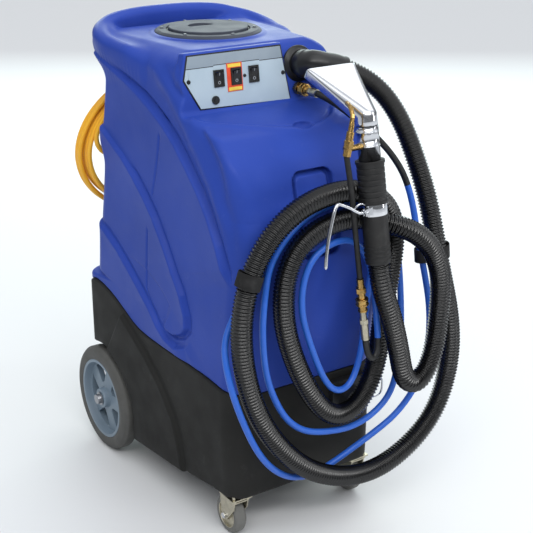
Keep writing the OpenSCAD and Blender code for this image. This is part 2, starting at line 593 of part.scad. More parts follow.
// ======================= vacuum inlet =======================
port_d = 44;
module inlet_port() placed() color([0.07, 0.07, 0.08]) on_panel() translate([inlet_at[0], inlet_at[1], 0])
    difference() {
        union() {
            translate([0, 0, -port_deep]) cylinder(d = 62, h = 5);
            translate([0, 0, -46]) cylinder(d = port_d, h = 54);
        }
        translate([0, 0, -60]) cylinder(d = hose_bore, h = 90);
    }
cuff_path = [panel_pt(inlet_at[0], inlet_at[1], 8), panel_pt(inlet_at[0], inlet_at[1], 22),
    [92, -112, 864], [108, -122, 861], [128, -126, 857], hose_pts[0]];
module inlet_cuff() placed() color([0.07, 0.08, 0.09]) {
    s = smooth(cuff_path, 3);
    n = len(s);
    v = carried(s);
    r = function(i) lookup(i, [[0, 26], [4, 26], [4.1, 24], [n - 3, 22], [n - 1, 21.5]]);
    skin(concat(
        [for (i = [0:n - 1]) each ring_at(s[i], v[i], tangent(s, i), r(i), 16)],
        [for (i = [n - 1:-1:0]) each ring_at(s[i], v[i], tangent(s, i), hose_bore / 2, 16)]),
        16, true);
}

// ======================= hoses =======================
function even(p, n) =
    let (s = running(p), total = s[len(s) - 1])
    [for (k = [0:n]) let (t = total * k / n)
        [for (c = [0:2]) lookup(t, [for (i = [0:len(p) - 1]) [s[i], p[i][c]]])]];
function self_gap(q, skip) =
    min([for (i = [0:3:len(q) - 1], j = [i + skip:3:len(q) - 1]) norm(q[i] - q[j])]);
hose_line = even(smooth(hose_pts, 5), 2 * hose_ribs);
module vacuum_hose() placed() color([0.09, 0.09, 0.1]) {
    n = 2 * hose_ribs;
    v = carried(hose_line);
    bore = even(smooth(hose_pts, 5), hose_bore_rings);
    w = carried(bore);
    echo(hose_length = running(hose_line)[n], hose_self_gap = self_gap(hose_line, 8) - hose_od);
    skin(concat(
        [for (i = [0:n]) each ring_at(hose_line[i], v[i], tangent(hose_line, i),
            i % 2 == 0 ? hose_od / 2 - 2 : hose_od / 2, 8)],
        [for (i = [hose_bore_rings:-1:0]) each ring_at(bore[i], w[i], tangent(bore, i), hose_bore / 2 - 1, 8)]),
        8, true);
}
module solution_line() placed() color([0.16, 0.4, 0.8]) {
    s = even(smooth(line_pts, 3), line_rings);
    echo(line_length = running(s)[line_rings], line_self_gap = self_gap(s, 4) - line_od);
    tube(s, line_od / 2, 6);
}

// ======================= hose straps =======================
strap_w = 26;
strap_t = 1.6;
strap_play = 1.5;
// [vacuum hose centre, line centre, lean of the strap about Y]
strap_at = [[[263, -280, 520], [227, -273.5, 520], -6],
            [[-171, -300, 560], [-146, -278.5, 560], 20]];
line_play = [3, 2.2];
module hose_strap(i) color([0.03, 0.03, 0.03])
    translate(strap_at[i][0]) rotate([0, strap_at[i][2], 0]) translate([0, 0, -strap_w / 2])
        linear_extrude(strap_w) difference() {
            strap_outline(i, strap_play + strap_t);
            strap_outline(i, strap_play);
        }
module strap_outline(i, more) {
    d = strap_at[i][1] - strap_at[i][0];
    hull() {
        circle(r = hose_od / 2 + more);
        translate([d[0], d[1]]) circle(r = line_od / 2 + line_play[i] + more);
    }
}
module strap_right() placed() hose_strap(0);
module strap_left() placed() hose_strap(1);

// ======================= panel coupler =======================
module at_coupler() { translate([76, shelf_y + 8, 816]) rotate([90, 0, 0]) children(); }
sleeve_gap = 0.1;
module panel_coupler() placed() color([0.75, 0.6, 0.28]) at_coupler() difference() {
    union() {
        translate([0, 0, -18]) cylinder(d = 14, h = 30);
        translate([0, 0, 8]) cylinder(d = 24, h = 9, $fn = 6);
        translate([0, 0, 17]) cylinder(d = 15, h = 24);
        translate([0, 0, 38]) cylinder(d = 18, h = 3);
    }
    translate([0, 0, -20]) cylinder(d = 7, h = 80);
}
module ring_sleeve(len) {
    difference() {
        union() {
            cylinder(d = 21, h = len);
            translate([0, 0, len - 4]) cylinder(d = 23.5, h = 3);
            translate([0, 0, 1]) cylinder(d = 23.5, h = 3);
        }
        translate([0, 0, -1]) cylinder(d = 15 + sleeve_gap, h = len + 2);
    }
}
module panel_sleeve() placed() color([0.8, 0.65, 0.32]) at_coupler() translate([0, 0, 22.5]) ring_sleeve(14);
module line_ferrule() placed() color([0.7, 0.71, 0.73]) at_coupler() difference() {
    union() {
        translate([0, 0, 41]) cylinder(d = 12, h = 12);
        translate([0, 0, 49]) cylinder(d = 16, h = 6, $fn = 6);
        translate([0, 0, 55]) cylinder(d = line_od + 3, h = 14);
    }
    translate([0, 0, 40]) cylinder(d = 6, h = 40);
}

// ======================= hand tool =======================
tube_t = 1.6;
tube_z1 = 238;
weld_r = 1.2;
tool_x = tool_top[0];
head_rows = [[-322, 798, 19, 19], [-320, 812, 19.5, 18.6], [-313, 824, 21.5, 17.4],
             [-299, 834, 26, 15.6], [-279, 843, 33, 13.6], [-256, 854, 41, 12],
             [-235, 864, 48, 11], [-216, 874, 51, 10.6]];
head_sides = 24;
function head_path() = [for (r = head_rows) [tool_x, r[0], r[1]]];
function head_ring(i, inset) =
    let (p = head_path(), t = tangent(p, i), n = [1, 0, 0], k = unit(cross(t, n)),
         w = head_rows[i][2] * (1 + (tool_mouth_w / 102 - 1) * i / 7) - inset,
         h = head_rows[i][3] - inset, e = 1 - 0.55 * i / 7)
    [for (j = [0:head_sides - 1]) let (a = -360 * (j + 0.5) / head_sides, c = cos(a), s = sin(a))
        p[i] + n * w * sign(c) * pow(abs(c), e) + k * h * sign(s) * pow(abs(s), e)];
module tool_head() placed() color([0.82, 0.83, 0.85]) {
    m = len(head_rows);
    skin(concat([for (i = [0:m - 1]) each head_ring(i, 0)],
                [for (i = [m - 1:-1:0]) each head_ring(i, tube_t)]), head_sides, true);
}
module tool_tube() placed() color([0.8, 0.81, 0.83]) on_tool() {
    difference() {
        cylinder(d = tube_d, h = tube_z1);
        translate([0, 0, -1]) cylinder(d = tube_d - 2 * tube_t, h = tube_z1 + 2);
        translate([0, 0, -1]) cylinder(d = tube_d + 4, h = 61);
    }
    for (z = [205, 229]) translate([0, 0, z]) rotate_extrude()
        translate([tube_d / 2, 0]) circle(r = weld_r, $fn = 16);
}
module tool_cuff() placed() color([0.08, 0.08, 0.09]) on_tool() difference() {
    union() {
        cylinder(d = cuff_d, h = band_z0);
        for (z = [6:8:30]) translate([0, 0, z]) cylinder(d = cuff_d + 2, h = 3);
    }
    translate([0, 0, -1]) cylinder(d = hose_bore, h = 70);
    translate([0, 0, 60]) cylinder(d = tube_d, h = 40);
}
module tool_band() placed() color([0.86, 0.87, 0.9]) on_tool() difference() {
    union() {
        translate([0, 0, band_z0]) cylinder(d = cuff_d + 1, h = grip_z0 - band_z0);
        translate([-31, trigger_y - 5, band_z0 + 4]) cube([16, 10, 12]);
    }
    translate([0, 0, band_z0 - 1]) cylinder(d = tube_d, h = 40);
    translate([-32, trigger_y - 2.1, band_z0 + 3]) cube([11.6, 4.2, 14]);
    translate([-26, trigger_y - 10, band_z0 + 10]) rotate([-90, 0, 0]) cylinder(d = 4.1, h = 18);
}
module tool_grip() placed() color([0.06, 0.06, 0.07]) on_tool() difference() {
    union() {
        translate([0, 0, grip_z0]) cylinder(d = grip_d, h = grip_z1 - grip_z0);
        for (z = [grip_z0, grip_z1 - 5]) translate([0, 0, z]) cylinder(d = grip_d + 3, h = 5);
    }
    translate([0, 0, grip_z0 - 1]) cylinder(d = tube_d, h = grip_z1 - grip_z0 + 2);
    for (z = [grip_z0 + 12:10:grip_z1 - 12]) translate([0, 0, z]) rotate_extrude()
        translate([grip_d / 2 + 0.6, 0]) circle(r = 1.6, $fn = 12);
}
// Bent-rod trigger: it turns on a pin in the band's lug
trigger_y = -12;
trigger_pts = [[-34, 0, 98], [-42, 0, 101], [-58, 0, 110], [-76, 0, 119], [-84, 0, 121],
               [-91, 0, 115], [-97, 0, 104], [-104, 0, 86], [-110, 0, 66], [-115, 0, 44],
               [-121, 0, 18]];
module tool_trigger() placed() color([0.78, 0.79, 0.82]) on_tool() translate([0, trigger_y, 0]) {
    tube(smooth(trigger_pts, 2), 3, 10);
    translate([-26, 2, 96]) rotate([90, 0, 0]) cylinder(d = 10, h = 4);
    translate([-38, -2, 95]) cube([12, 4, 5]);
    translate([-26, -5.5, 96]) rotate([-90, 0, 0]) cylinder(d = 4, h = 11);
}

// ---- spray valve on the tube, whip hose and its coupler ----
valve_at = [-3, -338, 757];
valve_lean = 10;
module at_valve() { translate(valve_at) rotate([0, valve_lean, 0]) children(); }
module spray_valve() placed() color([0.76, 0.62, 0.3]) difference() {
    union() {
        at_valve() {
            cylinder(d = 15, h = 12, $fn = 6);
            translate([0, 0, 12]) cylinder(d = 12, h = 2);
            translate([0, 0, 14]) cylinder(d = 18, h = 12, $fn = 6);
            translate([0, 0, 26]) cylinder(d = 13, h = 15);
            translate([0, 0, 41]) cylinder(d = 9, h = 15);
        }
        translate([-2, -331, 767]) rotate([0, 90, 0]) cylinder(d = 11, h = 50);
        tube(smooth([[6, -338, 810], [10, -334, 824], [16, -320, 834], [23, -302, 836]], 3), 4, 10);
    }
    on_tool() translate([0, 0, 150]) cylinder(d = tube_d + 2 * weld_r + 0.1, h = tube_z1);
}
whip_pts = [[-3, -338, 757], [0, -338, 742], [6, -338, 712], [11, -338, 683], [20, -338, 620],
            [28, -338, 566], [33, -338, 532]];
module whip_hose() placed() color([0.05, 0.05, 0.06]) {
    tube(smooth(whip_pts, 4), 5, 10);
}
coupler_lean = 172;
module at_whip() { translate([33, -338, 532]) rotate([0, coupler_lean, 0]) children(); }
module whip_coupler() placed() color([0.75, 0.6, 0.28]) at_whip() difference() {
    union() {
        cylinder(d = 13, h = 18);
        translate([0, 0, 18]) cylinder(d = 19, h = 9, $fn = 6);
        translate([0, 0, 27]) cylinder(d = 15, h = 36);
        translate([0, 0, 60]) cylinder(d = 18, h = 3);
    }
    translate([0, 0, 30]) cylinder(d = 7, h = 40);
}
module whip_sleeve() placed() color([0.8, 0.65, 0.32]) at_whip() translate([0, 0, 38]) ring_sleeve(14);
plug_end = 120;
module whip_plug() placed() color([0.7, 0.71, 0.73]) at_whip() difference() {
    union() {
        translate([0, 0, 63]) cylinder(d = 12, h = 25);
        translate([0, 0, 80]) cylinder(d = 16, h = 8, $fn = 6);
        translate([0, 0, 88]) cylinder(d = line_od + 3, h = plug_end - 88);
    }
    translate([0, 0, 62]) cylinder(d = 6, h = 80);
}

// ======================= dump valve =======================
dump_at = [86, -236, 250];
dump_w = 80;
dump_bore = 40;
gate_z = 6;
gate_slot = 5;
gate_gap = 0.15;
module at_dump() { translate(dump_at) rotate([90, 0, 0]) children(); }
module dump_valve() placed() color([0.8, 0.81, 0.83]) difference() {
    at_dump() difference() {
        union() {
            translate([-dump_w / 2, -dump_w / 2, -6]) cube([dump_w, dump_w, gate_z + gate_slot + 11]);
            cylinder(d = dump_bore + 10, h = 36);
        }
        translate([-dump_w / 2 + 6, -dump_w / 2 + 6, gate_z]) cube([dump_w, dump_w - 12, gate_slot]);
        translate([0, 0, -30]) cylinder(d = dump_bore, h = 80);
    }
    loft(base_zs);
}
module dump_gate() placed() color([0.7, 0.71, 0.73]) at_dump() {
    translate([-30, -dump_w / 2 + 6 + gate_gap, gate_z + gate_gap])
        cube([76, dump_w - 12 - 2 * gate_gap, gate_slot - 2 * gate_gap]);
    tube(smooth([[43, 20, 8.5], [60, 20, 8.5], [76, 19, 8.5], [83, 12, 8.5], [84, 0, 8.5],
                 [83, -12, 8.5], [76, -19, 8.5], [60, -20, 8.5], [43, -20, 8.5]], 2), 2, 10);
}

// ======================= power cord =======================
coil_a = 208;
coil_b = 160;
coil_z = 657;
coil_step = 14;
coil_pitch = 11;
coil_inner = 4;                      // turns of the inner layer
coil_end = 6.69;                     // turns in all
coil_y = 236;
coil_tilt = 0.2;
gland_at = [-70, 215, 640];
gland_y = 243;                       // height of the elbow over the wall
function coil_at(t) =
    let (k = -coil_step * max(0, min(1, (coil_inner + 0.3 - t) / 0.3)), a = 180 - 360 * t)
    [(coil_a + k) * cos(a),
     coil_y - coil_tilt * (coil_b + k) * sin(a) + coil_pitch * min(t, 2 * coil_inner + 0.3 - t),
     coil_z + (coil_b + k) * sin(a)];
coil_line = concat(
    smooth([[gland_at[0] - 14, gland_y, gland_at[2] + 1], [-112, 245, 642.5], [-134, 244, 643.5],
            [-159.5, 242, 651], [-179, 236, 669.5]], 3),
    [for (i = [1:24 * coil_end]) coil_at(i / 24)],
    smooth([[28, 276, 494], [-4, 286, 474], [-24, 308, 446], [-30, 325, 412],
            [-30, 327, 384]], 3));
module power_cord() placed() color([0.9, 0.62, 0.14]) {
    echo(cord_length = running(coil_line)[len(coil_line) - 1],
         coil_gap = self_gap(coil_line, 12) - cord_od);
    tube(coil_line, cord_od / 2, 6);
}
module power_plug() placed() color([0.9, 0.62, 0.14]) translate([-30, 327, 384]) rotate([180, 0, 0]) {
    cylinder(d1 = cord_od + 3, d2 = 18, h = 22);
    translate([0, 0, 22]) cylinder(d = 32, h = 26);
    for (x = [-6.35, 6.35]) translate([x - 0.75, -3.2, 48]) cube([1.5, 6.4, 17]);
    translate([0, 7, 48]) cylinder(d = 4.8, h = 20);
}
module cord_gland() placed() color([0.05, 0.05, 0.06]) difference() {
    union() {
        translate(gland_at) rotate([-90, 0, 0]) {
            cylinder(d = 24, h = 14, $fn = 6);
            cylinder(d = 18, h = gland_y - gland_at[1]);
        }
        translate([gland_at[0], gland_y, gland_at[2]]) {
            sphere(d = 20);
            rotate([0, -88, 0]) cylinder(d1 = 17, d2 = cord_od + 3, h = 44);
        }
    }
    loft(tank_zs);
}
hook_x = 110;
hook_w = 22;
hook_z = 750;
hook_rear = [[209.1, 700], [202.1, 731], [197.1, 752], [192.1, 770], [188.4, 784]];
module cord_hooks() placed() color([0.05, 0.05, 0.06]) for (s = [-1, 1])
    across(concat(hook_rear, [[196, 784], [200, 770], [202, hook_z + 6], [266, hook_z + 6],
        [270, hook_z + 34], [278, hook_z + 34], [280, hook_z - 2], [272, hook_z - 8],
        [212, hook_z - 14], [222, 700]]), hook_w, s * hook_x);

// ======================= inside the body =======================
module vac_motor() placed() color([0.3, 0.3, 0.32]) translate([-60, 10, bay_floor]) {
    cylinder(d = 60, h = 8);
    cylinder(d = 144, h = 62);
    translate([0, 0, 62]) cylinder(d = 120, h = 52);
    translate([0, 0, 114]) cylinder(d = 92, h = 58);
}
module pump() placed() color([0.12, 0.12, 0.13]) translate([84, -40, bay_floor]) {
    translate([-40, -50, 0]) cube([80, 110, 6]);
    translate([0, 50, 46]) rotate([90, 0, 0]) cylinder(d = 80, h = 90);
    translate([-30, -60, 16]) cube([60, 26, 60]);
}
pipe_d = 38;
pipe_at = [-60, 10];
pipe_top = 820;
pipe_collar = bay_floor + 172;        // where it leaves the motor
module standpipe() placed() color([0.85, 0.85, 0.82]) translate([pipe_at[0], pipe_at[1], 0]) difference() {
    union() {
        translate([0, 0, pipe_collar]) cylinder(d = pipe_d, h = pipe_top - pipe_collar);
        translate([0, 0, pipe_top]) cylinder(d = pipe_d + 14, h = 26);
    }
    translate([0, 0, pipe_collar + 8]) cylinder(d = pipe_d - 5, h = pipe_top - pipe_collar - 2);
    for (a = [0:45:315]) rotate([0, 0, a]) translate([10, -3, pipe_top + 6]) cube([30, 6, 14]);
}

// ======================= fasteners =======================
module caster_bolts() placed() color([0.7, 0.7, 0.72]) for (s = [-1, 1]) at_caster(s)
    for (x = [-15, 15], y = [-17, 17]) translate([x, y, caster_top - caster_plate_t - 4]) {
        cylinder(d = 10, h = 4, $fn = 6);
        cylinder(d = bolt_d, h = caster_plate_t + 4 + bolt_in);
    }

base_housing();
tank_body();
rear_axle();
tyre_left();
tyre_right();
rim_left();
rim_right();
hub_cap_left();
hub_cap_right();
caster_plates();
caster_bolts();
caster_fork_left();
caster_fork_right();
caster_axle_left();
caster_axle_right();
caster_tyre_left();
caster_tyre_right();
caster_hub_left();
caster_hub_right();
lid_ring();
lid_gasket();
tank_lid();
screws();
control_panel();
switch_surround();
rocker_frames();
rocker_left();
rocker_middle();
rocker_right();
breaker_body();
breaker_button();
inlet_port();
inlet_cuff();
vacuum_hose();
solution_line();
strap_left();
strap_right();
panel_coupler();
panel_sleeve();
line_ferrule();
tool_head();
tool_tube();
tool_cuff();
tool_band();
tool_grip();
tool_trigger();
spray_valve();
whip_hose();
whip_coupler();
whip_sleeve();
whip_plug();
dump_valve();
dump_gate();
power_cord();
power_plug();
cord_gland();
cord_hooks();
vac_motor();
pump();
standpipe();
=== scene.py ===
import bpy, bmesh, math
import numpy as np
from mathutils import Vector, Matrix


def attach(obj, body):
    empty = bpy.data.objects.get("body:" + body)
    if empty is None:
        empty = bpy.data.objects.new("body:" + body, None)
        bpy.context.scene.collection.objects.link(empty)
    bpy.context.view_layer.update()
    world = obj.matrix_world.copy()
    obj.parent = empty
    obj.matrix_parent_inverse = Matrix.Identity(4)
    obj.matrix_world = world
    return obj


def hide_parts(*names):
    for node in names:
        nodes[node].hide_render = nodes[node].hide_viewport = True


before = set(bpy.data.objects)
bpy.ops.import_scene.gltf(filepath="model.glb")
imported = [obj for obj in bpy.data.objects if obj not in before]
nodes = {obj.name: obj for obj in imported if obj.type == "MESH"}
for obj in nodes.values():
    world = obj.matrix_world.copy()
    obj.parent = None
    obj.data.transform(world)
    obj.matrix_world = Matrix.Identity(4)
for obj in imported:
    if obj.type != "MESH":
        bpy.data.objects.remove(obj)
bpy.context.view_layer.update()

MM = 0.001                                  # lengths below are in millimetres, as in the source
DY = 7.25                                   # the pack's centring of the source along y
scene = bpy.context.scene


def P(p):
    """A point of the source in the scene's frame, in metres."""
    return (p[0] * MM, (p[1] + DY) * MM, p[2] * MM)


# ---- camera
PHOTO_PX, FOCAL_PX = 533, 1179.71            # the photograph's width and fitted focal length
CAM_DOWN, CAM_HEADING = 21.022, -33.717      # degrees
cam_data = bpy.data.cameras.new("camera")
cam = bpy.data.objects.new("camera", cam_data)
scene.collection.objects.link(cam)
scene.camera = cam
cam_data.sensor_width = 36
cam_data.lens = FOCAL_PX / PHOTO_PX * 36
cam_data.clip_end = 60
cam.location = P((-1157.48, -1830.03, 1285.54))
cam.rotation_euler = (math.radians(90 - CAM_DOWN), 0, math.radians(CAM_HEADING))

# ---- light
scene.view_settings.view_transform = "Standard"
world = bpy.data.worlds.new("studio")
scene.world = world
world.use_nodes = True
wn = world.node_tree
wn.nodes["Background"].inputs[0].default_value = (0.93, 0.96, 1.0, 1)
sky_dir = wn.nodes.new("ShaderNodeTexCoord")
updown = wn.nodes.new("ShaderNodeSeparateXYZ")
dome = wn.nodes.new("ShaderNodeMapRange")           # bright overhead, dim towards the horizon
dome.interpolation_type = "SMOOTHSTEP"
for k, v in enumerate((0.15, 0.75, 0.20, 0.95), 1):
    dome.inputs[k].default_value = v
wn.links.new(sky_dir.outputs["Generated"], updown.inputs[0])
wn.links.new(updown.outputs[2], dome.inputs[0])
wn.links.new(dome.outputs[0], wn.nodes["Background"].inputs[1])
backdrop = wn.nodes.new("ShaderNodeBackground")     # what the camera sees behind the machine
backdrop.inputs[0].default_value = (0.95, 0.955, 0.965, 1)
backdrop.inputs[1].default_value = 1.0
seen = wn.nodes.new("ShaderNodeLightPath")
choose = wn.nodes.new("ShaderNodeMixShader")
wn.links.new(seen.outputs["Is Camera Ray"], choose.inputs[0])
wn.links.new(wn.nodes["Background"].outputs[0], choose.inputs[1])
wn.links.new(backdrop.outputs[0], choose.inputs[2])
wn.links.new(choose.outputs[0], wn.nodes["World Output"].inputs[0])


def area(name, loc, target, size, power, color=(1, 1, 1)):
    """A rectangular soft box at loc, turned to target."""
    d = bpy.data.lights.new(name, "AREA")
    d.shape = "RECTANGLE"
    d.size, d.size_y = size
    d.energy = power
    d.color = color
    o = bpy.data.objects.new(name, d)
    scene.collection.objects.link(o)
    o.location = loc
    o.rotation_euler = (Vector(target) - Vector(loc)).to_track_quat("-Z", "Y").to_euler()
    return o


def sun(name, direction, power, spread):
    """Broad, even light from one side, like a large soft box far away."""
    d = bpy.data.lights.new(name, "SUN")
    d.energy = power
    d.angle = math.radians(spread)
    o = bpy.data.objects.new(name, d)
    scene.collection.objects.link(o)
    o.rotation_euler = Vector(direction).to_track_quat("Z", "Y").to_euler()
    return o


sun("sky_box", (-0.18, -0.62, 1.0), 0.8, 60)
area("long_box", (-0.9, -2.3, 2.5), (0, -0.1, 0.5), (4.0, 0.32), 42, (1, 0.99, 0.97))
area("card", (1.55, 0.2, 2.8), (0.05, -0.27, 0.84), (1.5, 1.5), 8)
area("strip", (2.2, -2.0, 1.5), (0.1, -0.2, 0.5), (0.4, 1.8), 15)
area("back", (2.3, 3.4, 2.0), (0, 0, 0.8), (4.2, 1.8), 80, (0.86, 1.0, 0.97))


# ---- materials
class Nodes:
    """A material's node tree, with short names for the nodes used here."""

    def __init__(self, name):
        self.m = bpy.data.materials.new(name)
        self.m.use_nodes = True
        self.t = self.m.node_tree
        self.b = self.t.nodes["Principled BSDF"]
        tc = self.t.nodes.new("ShaderNodeTexCoord")
        self.co = tc.outputs["Object"]

    def link(self, a, b):
        self.t.links.new(a, b)

    def scaled(self, s):
        n = self.t.nodes.new("ShaderNodeMapping")
        n.inputs["Scale"].default_value = s
        self.link(self.co, n.inputs[0])
        return n.outputs[0]

    def noise(self, scale, detail=3, rough=0.5, co=None):
        n = self.t.nodes.new("ShaderNodeTexNoise")
        n.inputs["Scale"].default_value = scale
        n.inputs["Detail"].default_value = detail
        n.inputs["Roughness"].default_value = rough
        self.link(co or self.co, n.inputs["Vector"])
        return n.outputs["Fac"]

    def place(self):
        """The shaded point's x, y and z in metres."""
        n = self.t.nodes.new("ShaderNodeSeparateXYZ")
        self.link(self.co, n.inputs[0])
        return n.outputs[0], n.outputs[1], n.outputs[2]

    def panel_up(self, y, z):
        """Height up the switch panel from its top edge, in metres."""
        return self.math("ADD", self.math("MULTIPLY", self.math("SUBTRACT", y, (PY + DY) * MM), math.sin(PT)),
                         self.math("MULTIPLY", self.math("SUBTRACT", z, PZ * MM), math.cos(PT)))

    def ramp(self, v, stops):
        n = self.t.nodes.new("ShaderNodeValToRGB")
        e = n.color_ramp.elements
        while len(e) < len(stops):
            e.new(0.5)
        for k, (p, c) in enumerate(stops):
            e[k].position = p
            e[k].color = tuple(c) + (1,) if not isinstance(c, (int, float)) else (c, c, c, 1)
        self.link(v, n.inputs[0])
        return n.outputs[0]

    def math(self, op, a, b=None):
        n = self.t.nodes.new("ShaderNodeMath")
        n.operation = op
        for k, v in enumerate((a, b)):
            if v is None:
                continue
            if isinstance(v, (int, float)):
                n.inputs[k].default_value = v
            else:
                self.link(v, n.inputs[k])
        return n.outputs[0]

    def mix(self, f, a, b):
        n = self.t.nodes.new("ShaderNodeMix")
        n.data_type = "RGBA"
        for k, v in ((0, f), (6, a), (7, b)):
            if isinstance(v, (int, float)):
                n.inputs[k].default_value = v
            elif isinstance(v, (tuple, list)):
                n.inputs[k].default_value = tuple(v) + (1,)
            else:
                self.link(v, n.inputs[k])
        return n.outputs[2]

    def edge(self):
        """Near 1 on sharp convex edges, where handling wears the surface."""
        g = self.t.nodes.new("ShaderNodeNewGeometry")
        return self.ramp(g.outputs["Pointiness"], [(0.52, 0.0), (0.6, 1.0)])

    def bump(self, h, strength, distance):
        n = self.t.nodes.new("ShaderNodeBump")
        n.inputs["Strength"].default_value = strength
        n.inputs["Distance"].default_value = distance
        self.link(h, n.inputs["Height"])
        prev = self.b.inputs["Normal"]
        if prev.is_linked:
            self.link(prev.links[0].from_socket, n.inputs["Normal"])
        self.link(n.outputs[0], prev)

    def set(self, **kw):
        for k, v in kw.items():
            s = self.b.inputs[k.replace("_", " ")]
            if isinstance(v, (int, float)):
                s.default_value = v
            elif isinstance(v, (tuple, list)):
                s.default_value = tuple(v) + (1,) if len(v) == 3 else tuple(v)
            else:
                self.link(v, s)
        return self


def lin(*rgb):
    """An 8-bit display colour as linear light."""
    return tuple(c / 12.92 if c <= 0.04045 else ((c + 0.055) / 1.055) ** 2.4 for c in (v / 255 for v in rgb))


def plastic(name, col, rough=(0.38, 0.5), bump=0.12, patch=0.12, spec=0.4):
    """Moulded plastic: broad patches, scuffs, lighter worn edges and a fine grain."""
    k = Nodes(name)
    big = k.noise(5, 4)
    fine = k.noise(900, 2)
    dark = tuple(c * (1 - patch) for c in col)
    lite = tuple(min(1, c * (1 + patch) + 0.004) for c in col)
    c = k.mix(k.ramp(big, [(0.35, 0.0), (0.65, 1.0)]), dark, lite)
    scuff = k.ramp(k.noise(38, 6, 0.7), [(0.60, 0.0), (0.72, 1.0)])
    c = k.mix(k.math("MULTIPLY", scuff, 0.10), c, tuple(min(1, x + 0.10) for x in col))
    c = k.mix(k.math("MULTIPLY", k.edge(), 0.25), c, tuple(min(1, x * 1.3 + 0.02) for x in col))
    r = k.ramp(k.noise(22, 5), [(0.3, rough[0]), (0.7, rough[1])])
    k.set(Base_Color=c, Roughness=r, Specular_IOR_Level=spec)
    k.bump(fine, bump, 0.0006)
    k.bump(k.noise(60, 3), 0.10, 0.0012)
    return k.m


def metal(name, col, rough=(0.12, 0.3), brushed=None, dirt=0.15, scale=60):
    """Bare or plated metal with stains; brushed names the axis that its fine lines run along."""
    k = Nodes(name)
    c = k.mix(k.ramp(k.noise(scale, 5), [(0.4, 0.0), (0.75, 1.0)]), col, tuple(x * (1 - dirt) for x in col))
    r = k.ramp(k.noise(scale * 3, 6, 0.6), [(0.3, rough[0]), (0.7, rough[1])])
    k.set(Base_Color=c, Roughness=r, Metallic=1.0)
    co = k.scaled({"X": (2, 900, 900), "Z": (900, 900, 2), None: (300, 300, 300)}[brushed])
    k.bump(k.noise(1, 3, co=co), 0.08, 0.0002)
    return k.m


def rubber(name, col, rough=(0.5, 0.75), grain=1400, spec=0.4, dust=0.35):
    """Rubber or soft vinyl with a film of dust."""
    k = Nodes(name)
    film = k.ramp(k.noise(45, 6, 0.65), [(0.5, 0.0), (0.8, 1.0)])
    c = k.mix(k.math("MULTIPLY", film, dust), col, tuple(x + 0.05 for x in col))
    k.set(Base_Color=c, Roughness=k.ramp(k.noise(30, 4), [(0.3, rough[0]), (0.7, rough[1])]),
          Specular_IOR_Level=spec)
    k.bump(k.noise(grain, 2), 0.15, 0.0004)
    return k.m


# ---- mesh helpers
def give(obj, body="machine", replaces=()):
    """Hands a piece to the frame: its body and the nodes that it stands for."""
    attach(obj, body)
    if replaces:
        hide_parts(*replaces)
    return obj


def mesh(name, verts, quads, mat, caps=(), smooth=True):
    """A mesh object from points in source millimetres (N x 3) and quads (M x 4)."""
    verts = np.asarray(verts, np.float64)
    out = (verts + [0, DY, 0]) * MM
    quads = np.asarray(quads, np.int32).reshape(-1, 4)
    total = np.concatenate([np.full(len(quads), 4, np.int32), np.array([len(c) for c in caps], np.int32)])
    loops = np.concatenate([quads.ravel()] + [np.array(c, np.int32) for c in caps]) if len(caps) else quads.ravel()
    me = bpy.data.meshes.new(name)
    me.vertices.add(len(out))
    me.vertices.foreach_set("co", out.astype(np.float32).ravel())
    me.loops.add(len(loops))
    me.loops.foreach_set("vertex_index", loops)
    me.polygons.add(len(total))
    me.polygons.foreach_set("loop_start", np.concatenate([[0], np.cumsum(total)[:-1]]).astype(np.int32))
    me.update(calc_edges=True)
    me.validate()
    if smooth:
        me.shade_smooth()
    for m in (mat if isinstance(mat, (list, tuple)) else [mat]):
        me.materials.append(m)
    o = bpy.data.objects.new(name, me)
    scene.collection.objects.link(o)
    return o


def spline(p, m):
    """Catmull-Rom curve through p, m steps a span, as in the source."""
    p = np.array(p, float)
    e = np.vstack([2 * p[0] - p[1], p, 2 * p[-1] - p[-2]])
    t = (np.arange(m) / m)[:, None]
    out = []
    for i in range(len(p) - 1):
        a, b, c, d = e[i:i + 4]
        out.append(0.5 * (2 * b + (c - a) * t + (2 * a - 5 * b + 4 * c - d) * t ** 2
                          + (3 * b - a - 3 * c + d) * t ** 3))
    return np.vstack(out + [p[-1:]])


def run_of(p):
    """Length run at each point of a curve."""
    return np.r_[0, np.cumsum(np.linalg.norm(np.diff(p, axis=0), axis=1))]


def even(p, n):
    """The same curve in n equal steps."""
    s = run_of(p)
    u = np.linspace(0, s[-1], n + 1)
    return np.stack([np.interp(u, s, p[:, k]) for k in range(3)], 1)


def relax(p, reach):
    """Widens a route's tightest bends by a rolling mean over about `reach` mm; its ends stay."""
    p = even(p, 1600)
    step = run_of(p)[-1] / (len(p) - 1)
    m = int(3 * reach / step)
    k = np.exp(-0.5 * (np.arange(-m, m + 1) * step / reach) ** 2)
    q = np.vstack([2 * p[0] - p[m:0:-1], p, 2 * p[-1] - p[-2:-m - 2:-1]])
    return np.stack([np.convolve(q[:, c], k / k.sum(), "valid") for c in range(3)], 1)


def frames(p):
    """Tangents and normals carried along p without twist."""
    t = np.gradient(p, axis=0)
    t /= np.linalg.norm(t, axis=1)[:, None]
    v = np.cross(t[0], (0, 0, 1) if abs(t[0][2]) < 0.9 else (0, 1, 0))
    v /= np.linalg.norm(v)
    n = np.empty_like(p)
    for i in range(len(p)):
        v = v - (v @ t[i]) * t[i]
        v /= np.linalg.norm(v)
        n[i] = v
    return t, n, np.cross(t, n)


def grid_quads(rows, sides, closed=False):
    """Quads between rings of points; closed also joins the last ring to the first."""
    i, j = np.meshgrid(np.arange(rows if closed else rows - 1), np.arange(sides), indexing="ij")
    i1, j1 = (i + 1) % rows, (j + 1) % sides
    return np.stack([i * sides + j, i * sides + j1, i1 * sides + j1, i1 * sides + j], -1).reshape(-1, 4)


